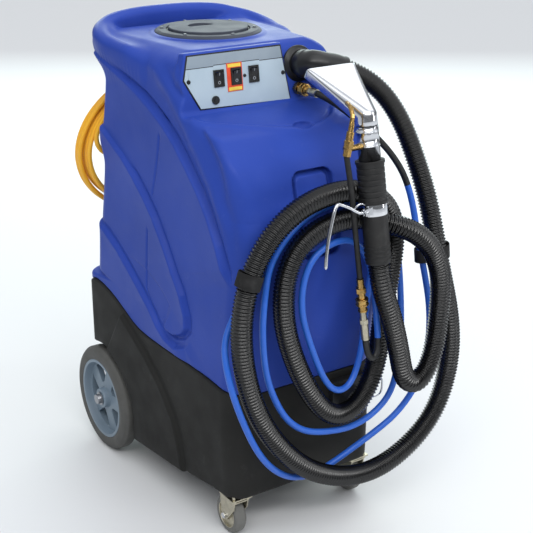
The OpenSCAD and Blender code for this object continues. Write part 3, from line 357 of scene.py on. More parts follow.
def tube(name, path, radius, sides, mat):
    """A round tube along path; radius is one number or one for each point."""
    _, n, b = frames(path)
    r = np.broadcast_to(np.asarray(radius, float), (len(path),))
    a = 2 * math.pi * np.arange(sides) / sides
    ring = r[:, None, None] * (np.cos(a)[None, :, None] * n[:, None, :] + np.sin(a)[None, :, None] * b[:, None, :])
    v = (path[:, None, :] + ring).reshape(-1, 3)
    last = (len(path) - 1) * sides
    ends = [list(range(sides))[::-1], [last + k for k in range(sides)]]
    return mesh(name, v, grid_quads(len(path), sides), mat, ends)


def lathe(name, profile, origin, axis, mat, sides=48, closed=False):
    """Turns profile [[radius, height], ...] about an axis through origin."""
    axis = np.array(axis, float) / np.linalg.norm(axis)
    u = np.cross(axis, (0, 0, 1) if abs(axis[2]) < 0.9 else (1, 0, 0))
    u /= np.linalg.norm(u)
    w = np.cross(axis, u)
    a = 2 * math.pi * np.arange(sides) / sides
    prof = np.array(profile, float)
    v = (np.array(origin, float) + prof[:, None, 1:2] * axis
         + prof[:, None, 0:1] * (np.cos(a)[None, :, None] * u + np.sin(a)[None, :, None] * w)).reshape(-1, 3)
    last = (len(prof) - 1) * sides
    caps = [] if closed else [list(range(sides))[::-1], [last + k for k in range(sides)]]
    return mesh(name, v, grid_quads(len(prof), sides, closed), mat, caps)


def soften(o, width):
    """Welds a CAD node's facets and rounds its hard edges."""
    w = o.modifiers.new("weld", "WELD")
    w.merge_threshold = 1e-5
    if width:
        b = o.modifiers.new("edge", "BEVEL")
        b.width, b.segments, b.limit_method = width * MM, 2, "ANGLE"
        b.angle_limit = math.radians(32)
        b.harden_normals = False


# ---- routes, as in the source
TOOL_TOP = np.array([50, -320, 813.0])
TOOL_BOT = np.array([60, -354, 562.0])
HOSE = [
    [148, -132, 850], [179, -147, 835], [210, -170, 804], [230, -200, 754], [243, -228, 690],
    [253, -254, 620], [260, -274, 545], [270, -288, 470], [284, -296, 400], [291, -300, 330],
    [284, -300, 256], [256, -300, 188], [200, -300, 138], [120, -300, 109], [36, -300, 118],
    [-44, -300, 160], [-108, -300, 226], [-154, -300, 304], [-180, -300, 390], [-187, -300, 476],
    [-172, -300, 556], [-132, -300, 624], [-70, -300, 668], [0, -298, 682], [60, -295, 676],
    [112, -296, 650], [138, -298, 604], [138, -299, 545], [124, -299, 460], [116, -299, 390],
    [106, -299, 328], [82, -299, 276], [44, -300, 248], [4, -300, 258], [-30, -300, 296],
    [-66, -300, 362], [-94, -300, 440], [-102, -300, 504], [-94, -300, 562], [-66, -300, 604],
    [-20, -300, 626], [26, -300, 632], [58, -302, 629], [82, -312, 624], [108, -338, 616],
    [150, -346, 596], [194, -346, 552], [216, -344, 496], [216, -344, 430], [206, -348, 366],
    [186, -352, 318], [156, -354, 298], [128, -356, 320], [112, -358, 380], [88, -361, 456],
    [66, -360, 512], TOOL_BOT]
LINE = [
    [76, -145.3, 816], [84, -178, 808], [108, -206, 784], [140, -230, 750],
    [172, -243, 712], [198, -252, 668], [214, -260, 612], [222, -268, 552], [232, -278, 490],
    [244, -286, 410], [242, -290, 330], [220, -292, 264], [172, -292, 212], [120, -284, 178],
    [70, -272, 148], [20, -268, 128], [-40, -276, 130], [-100, -290, 164], [-148, -298, 220],
    [-184, -300, 296], [-208, -296, 376], [-204, -272, 440], [-178, -264, 486],
    [-158, -274, 530], [-140, -280, 574], [-116, -277, 622], [-70, -272, 661], [0, -270, 680],
    [52, -268, 677], [98, -267, 664], [134, -267, 640], [157, -268, 604], [167, -273, 556],
    [172, -279, 500], [176, -284, 420],
    [172, -290, 350], [150, -298, 270], [110, -298, 232], [60, -298, 218], [11, -298, 222],
    [-46, -298, 238], [-88, -298, 272], [-118, -298, 324], [-137, -298, 385],
    [-143, -298, 464], [-134, -292, 520], [-121, -284, 562], [-103, -285, 596],
    [-70, -285, 628], [-28, -282, 648], [20, -280, 655], [58, -276, 653], [84, -278, 630],
    [100, -284, 596], [98, -290, 540], [90, -290, 470], [84, -290, 410], [72, -294, 350],
    [46, -300, 306], [14, -302, 304], [-14, -302, 338], [-44, -302, 410], [-64, -302, 480],
    [-60, -302, 540], [-38, -302, 578], [0, -302, 594], [40, -304, 592], [64, -310, 566],
    [76, -320, 520], [78, -328, 470], [80, -334, 420], [78, -340, 386], [66, -343, 366],
    [54, -341, 378], [49.7, -338, 413]]

HOSE_R, LINE_R, CORD_R, WHIP_R = 19.5, 6.0, 5.0, 5.0
RIB_PITCH, RIB_DEEP = 6.2, 2.8
RIB_STEPS = 8                 # rings of points to a rib
hose_mid = relax(spline(HOSE, 40), 22)
HOSE_LEN = run_of(hose_mid)[-1]
hose_path = even(hose_mid, int(HOSE_LEN / RIB_PITCH) * RIB_STEPS)
rib_phase = (np.arange(len(hose_path)) % RIB_STEPS) / RIB_STEPS
hose_r = HOSE_R - RIB_DEEP * (0.5 - 0.5 * np.cos(2 * math.pi * rib_phase)) ** 0.65

line_mid = relax(spline(LINE, 40), 15)
LINE_LEN = run_of(line_mid)[-1]
line_path = even(line_mid, 1100)
SLEEVE_A, SLEEVE_B = 250, 85                  # black sleeves at the line's two ends

COIL = dict(a=208, b=160, z=657, step=14, pitch=11, inner=4, end=6.69, y=236, tilt=0.2)


def coil_at(t):
    """The cord's point after t turns: an inner layer outwards, then an outer one back over it."""
    k = -COIL["step"] * max(0, min(1, (COIL["inner"] + 0.3 - t) / 0.3))
    a = math.radians(180 - 360 * t)
    return [(COIL["a"] + k) * math.cos(a),
            COIL["y"] - COIL["tilt"] * (COIL["b"] + k) * math.sin(a)
            + COIL["pitch"] * min(t, 2 * COIL["inner"] + 0.3 - t),
            COIL["z"] + (COIL["b"] + k) * math.sin(a)]


CORD_EXIT = (-112, 245, 642.5)                 # where it leaves the gland
cord_mid = np.vstack([
    spline([CORD_EXIT, [-134, 244, 643.5], [-159.5, 242, 651], [-179, 236, 669.5],
            coil_at(1 / 24)], 6)[:-1],
    np.array([coil_at(i / 48) for i in range(2, int(48 * COIL["end"]) + 1)]),
    spline([[28, 276, 494], [-4, 286, 474], [-24, 308, 446], [-30, 325, 412], [-30, 327, 384]], 6)])
cord_path = even(relax(cord_mid, 12), 1500)

# ---- body surfaces
# Each moulding is a signed distance field in millimetres, negative inside, meshed by nets().
# Rows: z, front y, rear y, half width at the front, half width at the rear, as in the source.
ROWS = np.array([
    [50, -212, 296, 156, 184], [66, -222, 303, 161, 188], [90, -230, 306, 164, 190],
    [200, -235, 306, 166, 190], [305, -238, 306, 167, 190], [380, -250, 306, 168, 190],
    [396, -253, 306, 168, 190], [404, -254, 270, 168, 189], [455, -260, 260, 169, 189],
    [500, -266, 251, 169, 188], [540, -271, 243, 169, 188], [590, -273, 233, 169, 187],
    [621, -268, 227, 169, 186], [645, -260, 222, 169, 186], [667, -250, 217, 169, 185],
    [700, -243, 209, 169, 184], [731, -229, 202, 168, 183], [752, -210, 197, 168, 182],
    [770, -192, 192, 168, 182], [800, -156, 184, 168, 181], [821, -124, 180, 168, 180],
    [838, -98, 182, 168, 180], [852, -80, 198, 167, 180], [866, -68, 220, 166, 179],
    [880, -60, 234, 162, 176], [890, -52, 238, 150, 166], [898, -40, 232, 128, 148]], float)
SEAM = np.array([[-340, 306], [-240, 306], [-205, 309], [-160, 315], [-119, 319], [-36, 324], [56, 325],
                 [92, 329], [118, 337], [150, 352], [177, 364], [205, 374], [232, 381], [262, 384],
                 [282, 379], [296, 368], [306, 352], [360, 352]], float)
UNDER = np.array([[-340, 88], [-160, 88], [-100, 80], [60, 68], [200, 58], [360, 40]], float)
ZT = np.arange(30.0, 930.0, 1.0)
YT = np.arange(-345.0, 365.0, 1.0)


def soft_table(x, rows_x, rows_y, sigma):
    """A row table read at x, its corners smoothed over sigma millimetres."""
    v = np.interp(x, rows_x, rows_y)
    k = np.exp(-0.5 * (np.arange(-40, 41) / sigma) ** 2)
    return np.convolve(np.pad(v, 40, "edge"), k / k.sum(), "valid")


# Front and rear y, half widths, seam and underside. T_SF, T_SR and T_SS are the cosines of the slopes.
T_YF, T_YR, T_WF, T_WR = (soft_table(ZT, ROWS[:, 0], ROWS[:, k], w) for k, w in ((1, 9), (2, 4), (3, 5), (4, 5)))
T_SEAM, T_UNDER = soft_table(YT, SEAM[:, 0], SEAM[:, 1], 5), soft_table(YT, UNDER[:, 0], UNDER[:, 1], 10)
T_SF, T_SR, T_SS = (1 / np.sqrt(1 + np.gradient(t) ** 2) for t in (T_YF, T_YR, T_SEAM))


def rmax(a, b, r):
    """Intersection of two fields with a rounded edge of radius r."""
    u, v = np.maximum(a + r, 0), np.maximum(b + r, 0)
    return np.minimum(np.maximum(a, b), -r) + np.hypot(u, v)


def smin(a, b, r):
    """Union of two fields with a fillet of radius r."""
    u, v = np.maximum(r - a, 0), np.maximum(r - b, 0)
    return np.maximum(np.minimum(a, b), r) - np.hypot(u, v)


def sstep(x):
    """Smooth step from 0 at 0 to 1 at 1."""
    x = np.clip(x, 0, 1)
    return x * x * (3 - 2 * x)


def line_field(pts, gy, gz):
    """Signed distance to a flat polyline, how far along it each point lies, and its length."""
    p = np.array(pts, float)
    best = np.full(gy.shape, 1e9)
    sign = np.ones_like(best)
    along = np.zeros_like(best)
    run = run_of(np.c_[p, np.zeros(len(p))])
    for i in range(len(p) - 1):
        d = p[i + 1] - p[i]
        n = np.hypot(*d)
        t = np.clip(((gy - p[i, 0]) * d[0] + (gz - p[i, 1]) * d[1]) / n ** 2, 0, 1)
        ex, ez = gy - p[i, 0] - t * d[0], gz - p[i, 1] - t * d[1]
        q = np.hypot(ex, ez)
        m = q < best
        best[m] = q[m]
        sign[m] = np.sign(d[0] * ez - d[1] * ex)[m]
        along[m] = (run[i] + t * n)[m]
    return best * sign, along, run[-1]


GH = 1.5                                       # side-view relief grid
GY, GZ = np.meshgrid(np.arange(-345, 365, GH), np.arange(30, 930, GH), indexing="ij")


def ridge(pts, height, width, fade, groove=0.0, groove_from=0.0, tail=25.0):
    """A petal's edge: raised on the line's rear and lower side, with a groove on the other."""
    s, along, total = line_field(pts, GY, GZ)
    ends = sstep(along) * sstep((total - along) / tail)
    up = height * sstep(s / width) * np.exp(-np.maximum(s - width, 0) / fade)
    near = sstep((along - groove_from) / 60)
    dip = groove * near * np.exp(-((s + 3) / 4.2) ** 2)
    return (up - dip) * ends


def bead(pts, height, width, start, end):
    """A soft raised line, or a crease where height is negative, that fades in and out at its ends."""
    s, along, total = line_field(pts, GY, GZ)
    return height * np.exp(-(s / width) ** 2) * sstep(along / start) * sstep((total - along) / end)


# Edges of the moulded petals on the flanks, in side view (y, z), from the rear forwards
RIDGE_A = [(215, 866), (176, 857), (120, 838), (60, 816), (10, 795), (-31, 774), (-70, 748), (-110, 713),
           (-145, 678), (-177, 638), (-203, 592), (-220, 552), (-230, 520)]
RIDGE_G = [(60, 868), (5, 862), (-44, 828), (-92, 784), (-139, 736), (-179, 690), (-205, 645), (-222, 600)]
RIDGE_B = [(240, 738), (214, 729), (165, 704), (120, 681), (78, 652), (40, 620), (8, 588), (-28, 540),
           (-52, 500), (-78, 458), (-92, 420), (-90, 392), (-72, 374), (-45, 363), (-20, 364), (2, 376)]
RIDGE_C = [(275, 540), (256, 531), (200, 508), (155, 484), (101, 445), (70, 420), (38, 393), (15, 368),
           (-12, 350), (-45, 343), (-75, 354), (-94, 376)]


CREASE_A = [(-20, 757), (-8, 710), (7, 665), (22, 622)]
CREASE_B = [(34, 564), (42, 520), (48, 480), (56, 430), (40, 398)]
CORNER = (GY - np.interp(GZ, ZT, T_YF) - 36) / 13          # hollow behind the front corner
R_TANK = (ridge(RIDGE_A, 9.5, 6, 80, 7.0, 60, 40)
          + ridge(RIDGE_B, 8.0, 6, 60, 5.5, 150, 18)
          + ridge(RIDGE_C, 7.5, 6, 60, 2.0, 0, 60)
          + bead(RIDGE_G, 5.5, 15, 50, 60)
          + bead(CREASE_A, -2.6, 2.4, 12, 12)
          + bead(CREASE_B, -2.6, 2.4, 12, 12)
          - 4.5 * np.exp(-CORNER ** 2) * sstep((GZ - 520) / 80) * sstep((880 - GZ) / 50)) - 3.5
FENDER = [(150, 345), (130, 332), (98, 312), (65, 291), (36, 268), (7, 243), (-16, 216), (-37, 188),
          (-51, 154), (-60, 117), (-66, 76), (-67, 40)]
R_BASE = ridge(FENDER, 7.5, 8, 400, 0.6, 0, 4)


def look(tab, y, z):
    """Reads a side-view relief grid between its points."""
    fy = np.clip((y + 345) / GH, 0, tab.shape[0] - 1.001)
    fz = np.clip((z - 30) / GH, 0, tab.shape[1] - 1.001)
    i, j = fy.astype(np.int32), fz.astype(np.int32)
    u, v = fy - i, fz - j
    return ((tab[i, j] * (1 - u) + tab[i + 1, j] * u) * (1 - v)
            + (tab[i, j + 1] * (1 - u) + tab[i + 1, j + 1] * u) * v)


def shell(x, y, z, relief=None, grow=0.0):
    """The body's tapered block with rounded corners; relief swells its flanks, grow all of it."""
    ax = np.abs(x)
    yf, yr = np.interp(z, ZT, T_YF), np.interp(z, ZT, T_YR)
    wf, wr = np.interp(z, ZT, T_WF), np.interp(z, ZT, T_WR)
    r = np.interp(z, [88, 306, 640, 740], [34, 50, 50, 13])
    dy, dx = (yr - 36) - (yf + r), wr - wf
    ds = ((ax - wf) * dy - (y - yf - r) * dx) / np.hypot(dy, dx) - grow
    if relief is not None:
        ds = ds - look(relief, y, z)
    df = (yf - y) * np.interp(z, ZT, T_SF) - grow
    high = sstep((z - 640) / 60)
    dr = (y - yr) * np.interp(z, ZT, T_SR) - grow - 7 * high
    return rmax(rmax(ds, df, r), dr, 36 - 20 * high)


PT = math.radians(7)                            # the panel's tilt
PY, PZ = -72, 896                               # its top edge


def panel_axes(y, z):
    """Height up the panel from its top edge, and distance out of its plane."""
    up = (y - PY) * math.sin(PT) + (z - PZ) * math.cos(PT)
    out = -(y - PY) * math.cos(PT) + (z - PZ) * math.sin(PT)
    return up, out


def panel_pt(x, y, z):
    """A point given on the panel: across, up from its top edge, and out of it."""
    return np.array([x, PY + y * math.sin(PT) - z * math.cos(PT), PZ + y * math.cos(PT) + z * math.sin(PT)])


PANEL_PTS = np.array([[-149, -2], [43, -2], [58, -99], [-130, -94], [-159, -42]], float)


def panel_land(x, up, fwd):
    """The raised land that the switch panel lies on, as an extruded outline a little wider than the panel."""
    d = np.maximum(fwd - 6, -22 - fwd)
    for k in range(len(PANEL_PTS)):
        a, b = PANEL_PTS[k - 1], PANEL_PTS[k]
        n = np.array([-(b - a)[1], (b - a)[0]]) / np.hypot(*(b - a))
        d = rmax(d, (x - a[0]) * n[0] + (up - a[1]) * n[1] - 6, 2.5)
    return d


# Height of the shelf under the panel, by y
SHELF = np.array([[-340, 752], [-235, 762], [-190, 774], [-150, 783], [-115, 790], [-84, 795], [-60, 798]], float)
# Right half of the carrying loop's centreline, and the shelf's lip line in plan
LOOP_HALF = [[158, 60, 864], [170, 100, 876], [175, 140, 880], [178, 180, 886], [170, 216, 893],
             [149, 247, 900], [113, 269, 908], [60, 280, 912], [0, 282, 913]]
LOOP = spline(LOOP_HALF + [[-p[0], p[1], p[2]] for p in LOOP_HALF[-2::-1]], 4)


def loop_field(x, y, z):
    """Distance to the carrying loop, a flattened tube along LOOP's right half, mirrored."""
    ax = np.abs(x)
    half = LOOP[:len(LOOP) // 2 + 1]
    best = np.full(x.shape, 1e9)
    for i in range(len(half) - 1):
        a, d = half[i], half[i + 1] - half[i]
        t = np.clip(((ax - a[0]) * d[0] + (y - a[1]) * d[1] + (z - a[2]) * d[2]) / (d @ d), 0, 1)
        qx, qy, qz = ax - a[0] - t * d[0], y - a[1] - t * d[1], z - a[2] - t * d[2]
        qz = np.where(qz < 0, qz / 2.3, qz * 1.12)         # a rolled top over a deep inner wall
        best = np.minimum(best, qx * qx + qy * qy + qz * qz)
    return np.sqrt(best) - 16.6


LIP = spline([(-152, -112, 0), (-140, -125, 0), (-106, -142, 0), (-70, -160, 0), (-28, -175, 0), (12, -183, 0),
              (52, -180, 0), (84, -166, 0), (104, -146, 0)], 4)[:, :2]
LID_Y, LID_TOP = 104, 909.5
DECK_Z, SEAM_GAP = 898, 0.8
PORT_AT = (87, -38)                             # on the panel's plane


def tank_field(x, y, z):
    """Tank: shell, deck, loop, lid's seat, panel land, shelf, hollow, lip, notch, pocket and port."""
    out = shell(x, y, z, R_TANK)
    d = rmax(out, z - DECK_Z, 7)
    far = (y > 20) & (z > 800)
    if far.any():
        loop = np.full(x.shape, 60.0)
        loop[far] = loop_field(x[far], y[far], z[far])
        d = smin(d, loop, 16)
    rc = np.hypot(x, y - LID_Y)
    d = smin(d, rmax(rc - 108, np.maximum(z - DECK_Z - 1.5, 860 - z), 3), 8)
    up, fwd = panel_axes(y, z)
    shelf = np.interp(y, SHELF[:, 0], SHELF[:, 1]) - z
    near = (y < 10) & (z > 770)
    if near.any():
        d[near] = smin(d[near], panel_land(x[near], up[near], fwd[near]), 7)
    cut = rmax(-fwd, shelf, 9)
    d = rmax(d, -cut, 5)
    seam = np.interp(y, YT, T_SEAM) + SEAM_GAP - z
    d = rmax(d, seam * np.interp(y, YT, T_SS), 3.2)
    inner = rmax(shell(x, y, z, None, -12), rmax(440 - z, z - 868, 4), 16)
    inner = rmax(rmax(inner, 12 - cut, 8), -116 - y, 12)
    mouth = np.maximum(rc - 76, 850 - z)
    d = np.maximum(d, -np.minimum(inner, mouth))
    lip = (y < -90) & (z > 740)
    if lip.any():
        s = -line_field(LIP, x[lip], y[lip])[0]          # in plan, positive in front of the lip
        d[lip] += 3.6 * np.exp(-(s / 2.8) ** 2) - 4.5 * np.exp(-((s - 10) / 7) ** 2)
    scoop = 9 * (np.sqrt(((x - 19) / 19) ** 2 + ((y + 183) / 14) ** 2 + ((z - 775) / 9) ** 2) - 1)
    d = rmax(d, -scoop, 1.0)
    arch = rmax(np.abs(x + 3) - 43, np.maximum(z - 711, 560 - z), 20)
    deep = 4 + 10 * sstep((arch + 11) / 4)             # a deep groove round a shallow raised middle
    d = np.where(y < -100, rmax(d, -rmax(arch, -(out + deep), 1.5), 1.2), d)
    port = np.maximum(np.hypot(x - PORT_AT[0], up - PORT_AT[1]) - 34, -fwd - 10)
    return rmax(d, -port, 2.5)


def base_field(x, y, z):
    """Base: shell up to the seam, sloping underside and wheel wells."""
    d = shell(x, y, z, R_BASE)
    top = (z + SEAM_GAP - np.interp(y, YT, T_SEAM)) * np.interp(y, YT, T_SS)
    d = rmax(d, top, 3.2)
    d = rmax(d, np.interp(y, YT, T_UNDER) - z, 8)
    well = np.maximum(np.hypot(y - 248, z - 114) - 126, 158 - np.abs(x))
    return rmax(d, -well, 4)


def lid_field(x, y, z):
    """The tank's lid: a raised disc on a flange that sits in the ring, with a half-round finger recess."""
    rc = np.hypot(x, y - LID_Y)
    d = rmax(rc - 75.2, z - LID_TOP, 1.8)
    d = smin(d, rmax(rc - 79.2, z - LID_TOP + 5.0, 0.8), 0.8)
    skirt = np.maximum(rmax(rc - 75.2, 889.5 - z, 1.0), -rmax(rc - 70, z - 902.5, 2))
    d = np.maximum(d, 903.6 - z)
    d = np.minimum(d, np.maximum(skirt, z - 905))
    recess = rmax(rmax(np.hypot(x + 8, y - 116) - 25, 113 - y, 2), LID_TOP - 4.5 - z, 1)
    return rmax(d, -recess, 1.0)


def nets(field, lo, hi, h):
    """Surface nets: vertices on the field's zero surface and the quads between them."""
    block = 4                                   # cells to a block; far blocks keep one rough value
    lo = np.array(lo, float)
    nb = [int(math.ceil((hi[k] - lo[k]) / (h * block))) for k in range(3)]
    bc = [lo[k] + h * block * (np.arange(nb[k]) + 0.5) - h / 2 for k in range(3)]
    bx, by, bz = np.meshgrid(*bc, indexing="ij")
    rough = field(bx.ravel(), by.ravel(), bz.ravel()).reshape(bx.shape)
    live = np.abs(rough) < h * block * 0.866 * 1.5 + 9
    vol = np.repeat(np.repeat(np.repeat(rough, block, 0), block, 1), block, 2).astype(np.float32)
    bi = np.argwhere(live)
    off = np.stack(np.meshgrid(*[np.arange(block)] * 3, indexing="ij"), -1).reshape(-1, 3)
    for part in np.array_split(bi, max(1, len(bi) // 12000)):
        idx = (part[:, None, :] * block + off[None]).reshape(-1, 3)
        p = lo + idx * h
        vol[idx[:, 0], idx[:, 1], idx[:, 2]] = field(p[:, 0], p[:, 1], p[:, 2])
    neg = vol < 0
    cnt = np.zeros([n - 1 for n in vol.shape], np.uint8)
    corners = [(a, b, c) for a in (0, 1) for b in (0, 1) for c in (0, 1)]
    for a, b, c in corners:
        cnt += neg[a:neg.shape[0] - 1 + a, b:neg.shape[1] - 1 + b, c:neg.shape[2] - 1 + c]
    cells = np.argwhere((cnt > 0) & (cnt < 8))
    ids = np.full(cnt.shape, -1, np.int32)
    ids[cells[:, 0], cells[:, 1], cells[:, 2]] = np.arange(len(cells))
    val = {k: vol[cells[:, 0] + k[0], cells[:, 1] + k[1], cells[:, 2] + k[2]] for k in corners}
    acc, num = np.zeros((len(cells), 3)), np.zeros(len(cells))
    for k in corners:
        for axis in range(3):
            if k[axis]:
                continue
            e = tuple(1 if q == axis else k[q] for q in range(3))
            va, vb = val[k], val[e]
            m = (va < 0) != (vb < 0)
            t = va[m] / (va[m] - vb[m])
            pt = np.tile(np.array(k, float), (m.sum(), 1))
            pt[:, axis] += t
            acc[m] += pt
            num[m] += 1
    v = lo + (cells + acc / num[:, None]) * h
    for _ in range(3):                          # pulls the vertices onto the surface
        f0 = field(v[:, 0], v[:, 1], v[:, 2])
        g = np.stack([field(*(v + np.eye(3)[k] * 0.4).T) - f0 for k in range(3)], 1) / 0.4
        g2 = np.maximum((g * g).sum(1), 0.2)
        move = -(f0 / g2)[:, None] * g
        v += np.clip(move, -h * 0.4, h * 0.4) * 0.9
    quads = []
    for axis in range(3):
        a, b = (axis + 1) % 3, (axis + 2) % 3
        sl0, sl1 = [slice(None)] * 3, [slice(None)] * 3
        sl0[axis], sl1[axis] = slice(0, -1), slice(1, None)
        n0, n1 = neg[tuple(sl0)], neg[tuple(sl1)]
        e = np.argwhere(n0 != n1)
        e = e[(e[:, a] > 0) & (e[:, b] > 0) & (e[:, a] < cnt.shape[a]) & (e[:, b] < cnt.shape[b])]
        flip = n0[e[:, 0], e[:, 1], e[:, 2]]
        q = []
        for da, db in ((1, 1), (0, 1), (0, 0), (1, 0)):
            c = e.copy()
            c[:, a] -= da
            c[:, b] -= db
            q.append(ids[c[:, 0], c[:, 1], c[:, 2]])
        q = np.stack(q, 1)
        q[~flip] = q[~flip][:, ::-1]
        quads.append(q)
    q = np.concatenate(quads)
    return v, q[(q >= 0).all(1)]


BODY_H = 2.5                 # cell size

# ---- materials
BLUE = plastic("moulded_blue", lin(42, 68, 158), (0.34, 0.46), bump=0.10, patch=0.06, spec=0.1)
CHARCOAL = plastic("moulded_charcoal", lin(35, 35, 34), (0.5, 0.66), bump=0.14, patch=0.08, spec=0.12)
HOSE_BLACK = rubber("hose_black", lin(8, 8, 9), (0.18, 0.28), 900, spec=0.6, dust=0.06)
LINE_BLUE = rubber("line_blue", lin(38, 94, 192), (0.3, 0.45), 900)
LINE_BLACK = rubber("line_black", lin(22, 23, 25), (0.35, 0.5), 900)
CORD_YELLOW = rubber("cord_yellow", lin(238, 176, 44), (0.35, 0.5), 900)
STRAP = rubber("strap_black", lin(18, 18, 19), (0.75, 0.9), 2600)

tank = mesh("tank_shell", *nets(tank_field, (-222, -292, 292), (222, 322, 942), BODY_H), BLUE)
give(tank, replaces=["tank_body"])
base = mesh("base_shell", *nets(base_field, (-206, -262, 26), (206, 322, 402), BODY_H), CHARCOAL)
give(base, replaces=["base_housing"])

hose = tube("hose_ribbed", hose_path, hose_r, 20, HOSE_BLACK)
give(hose, replaces=["vacuum_hose"])
LINE_SIDES = 14
line = tube("line_blue", line_path, LINE_R, LINE_SIDES, [LINE_BLUE, LINE_BLACK])
line_run = np.repeat(run_of(line_path)[:-1], LINE_SIDES)
for f in line.data.polygons[:len(line_run)]:
    f.material_index = int(line_run[f.index] < SLEEVE_A or line_run[f.index] > LINE_LEN - SLEEVE_B)
give(line, replaces=["solution_line"])
cord = tube("mains_cord", cord_path, CORD_R, 12, CORD_YELLOW)
give(cord, replaces=["power_cord"])

BRASS = metal("brass", lin(186, 152, 92), (0.16, 0.34), dirt=0.45, scale=120)
CHROME = metal("chrome", lin(214, 216, 220), (0.05, 0.16), dirt=0.08, scale=50)
STEEL = metal("steel_polished", lin(205, 207, 212), (0.10, 0.24), brushed="Z", dirt=0.1, scale=40)
ZINC = metal("zinc_warm", lin(190, 184, 165), (0.24, 0.42), dirt=0.22, scale=90)
AXLE = metal("axle_steel", lin(150, 152, 156), (0.25, 0.4), brushed="X")
TYRE = rubber("tyre_rubber", lin(78, 78, 76), (0.55, 0.75), 1100)
CASTER_R = rubber("caster_rubber", lin(104, 104, 101), (0.5, 0.7), 1100)
RIM = plastic("rim_plastic", lin(112, 128, 142), (0.36, 0.5), bump=0.08, patch=0.10)
LID_GREY = plastic("lid_grey", lin(62, 67, 78), (0.46, 0.6), bump=0.16, patch=0.07, spec=0.22)
BLACK_P = plastic("black_plastic", lin(26, 27, 29), (0.3, 0.45), bump=0.08, patch=0.2)
BLACK_R = rubber("black_rubber", lin(20, 20, 21), (0.45, 0.62), 1500)
MOTOR = metal("motor_metal", lin(120, 122, 126), (0.3, 0.5), dirt=0.2)
PALE_P = plastic("pale_plastic", lin(222, 222, 214), (0.35, 0.5), patch=0.05)


def screw_material():
    """Black screws on the panel, grey plastic-capped ones on the lid's ring."""
    k = Nodes("screw_heads")
    on_ring = k.math("GREATER_THAN", k.place()[1], 0.0)
    k.set(Base_Color=k.mix(on_ring, lin(20, 20, 22), lin(76, 82, 92)),
          Roughness=k.ramp(k.noise(200, 4), [(0.3, 0.3), (0.7, 0.5)]))
    k.bump(k.noise(900, 2), 0.1, 0.0003)
    return k.m


def panel_material():
    """Pale sheet with a greyer band along its top, whose edge steps down over the switches."""
    k = Nodes("panel_sheet")
    x, y, z = k.place()
    up = k.panel_up(y, z)
    mid = k.math("MULTIPLY", k.math("GREATER_THAN", x, -0.099), k.math("LESS_THAN", x, -0.003))
    low = k.math("SUBTRACT", -0.0232, k.math("MULTIPLY", mid, -0.0018))
    band = k.math("GREATER_THAN", up, low)
    edge = k.math("LESS_THAN", k.math("ABSOLUTE", k.math("SUBTRACT", up, low)), 0.0007)
    tone = k.ramp(k.noise(14, 4), [(0.35, lin(166, 184, 197)), (0.65, lin(174, 191, 203))])
    grey = k.ramp(k.noise(20, 4), [(0.35, lin(134, 148, 160)), (0.65, lin(143, 156, 167))])
    c = k.mix(band, tone, grey)
    c = k.mix(edge, c, lin(48, 50, 56))
    scuff = k.ramp(k.noise(60, 6, 0.7), [(0.62, 0.0), (0.7, 1.0)])
    c = k.mix(k.math("MULTIPLY", scuff, 0.12), c, lin(240, 244, 248))
    k.set(Base_Color=c, Roughness=k.ramp(k.noise(40, 5), [(0.3, 0.3), (0.7, 0.42)]), Specular_IOR_Level=0.5)
    k.bump(k.noise(1200, 2), 0.05, 0.0003)
    return k.m


def surround_material():
    """Red label round the middle rocker with a yellow bar above and below it."""
    k = Nodes("surround_red")
    x, y, z = k.place()
    off = k.math("ABSOLUTE", k.math("ADD", k.panel_up(y, z), 0.046))
    strip = k.math("MULTIPLY", k.math("GREATER_THAN", off, 0.0175), k.math("LESS_THAN", off, 0.0235))
    inside = k.math("LESS_THAN", k.math("ABSOLUTE", k.math("ADD", x, 0.057)), 0.0135)
    red = k.ramp(k.noise(60, 4), [(0.35, lin(214, 66, 34)), (0.65, lin(226, 78, 42))])
    yellow = k.ramp(k.noise(80, 4), [(0.35, lin(232, 200, 70)), (0.65, lin(240, 210, 84))])
    k.set(Base_Color=k.mix(k.math("MULTIPLY", strip, inside), red, yellow),
          Roughness=k.ramp(k.noise(50, 4), [(0.3, 0.35), (0.7, 0.48)]))
    k.bump(k.noise(900, 2), 0.05, 0.0003)
    return k.m


def rocker_material():
    """Black plastic with a worn pale I over O on each rocker."""
    k = Nodes("rocker_black")
    x, y, z = k.place()
    dx = None
    for c in ROCKER_X:
        one = k.math("ABSOLUTE", k.math("SUBTRACT", x, c * MM))
        dx = one if dx is None else k.math("MINIMUM", dx, one)
    du = k.math("ADD", k.panel_up(y, z), ROCKER_DROP * MM)
    bar = k.math("MULTIPLY", k.math("LESS_THAN", dx, 0.0006),
                 k.math("LESS_THAN", k.math("ABSOLUTE", k.math("SUBTRACT", du, 0.0075)), 0.0026))
    low = k.math("ADD", du, 0.0075)
    r = k.math("SQRT", k.math("ADD", k.math("MULTIPLY", dx, dx), k.math("MULTIPLY", low, low)))
    ring = k.math("LESS_THAN", k.math("ABSOLUTE", k.math("SUBTRACT", r, 0.0023)), 0.0006)
    ink = k.math("MULTIPLY", k.math("MAXIMUM", bar, ring), k.ramp(k.noise(900, 3), [(0.3, 0.7), (0.6, 1.0)]))
    c = k.mix(ink, k.ramp(k.noise(70, 4), [(0.35, lin(14, 14, 16)), (0.65, lin(22, 22, 24))]), lin(150, 154, 158))
    k.set(Base_Color=c, Roughness=k.ramp(k.noise(90, 4), [(0.3, 0.25), (0.7, 0.4)]))
    k.bump(k.noise(1500, 2), 0.08, 0.0003)
    return k.m


ROCKER_X, ROCKER_DROP = (-90, -54, -17), 45      # the rockers' centres on the panel, as in the source


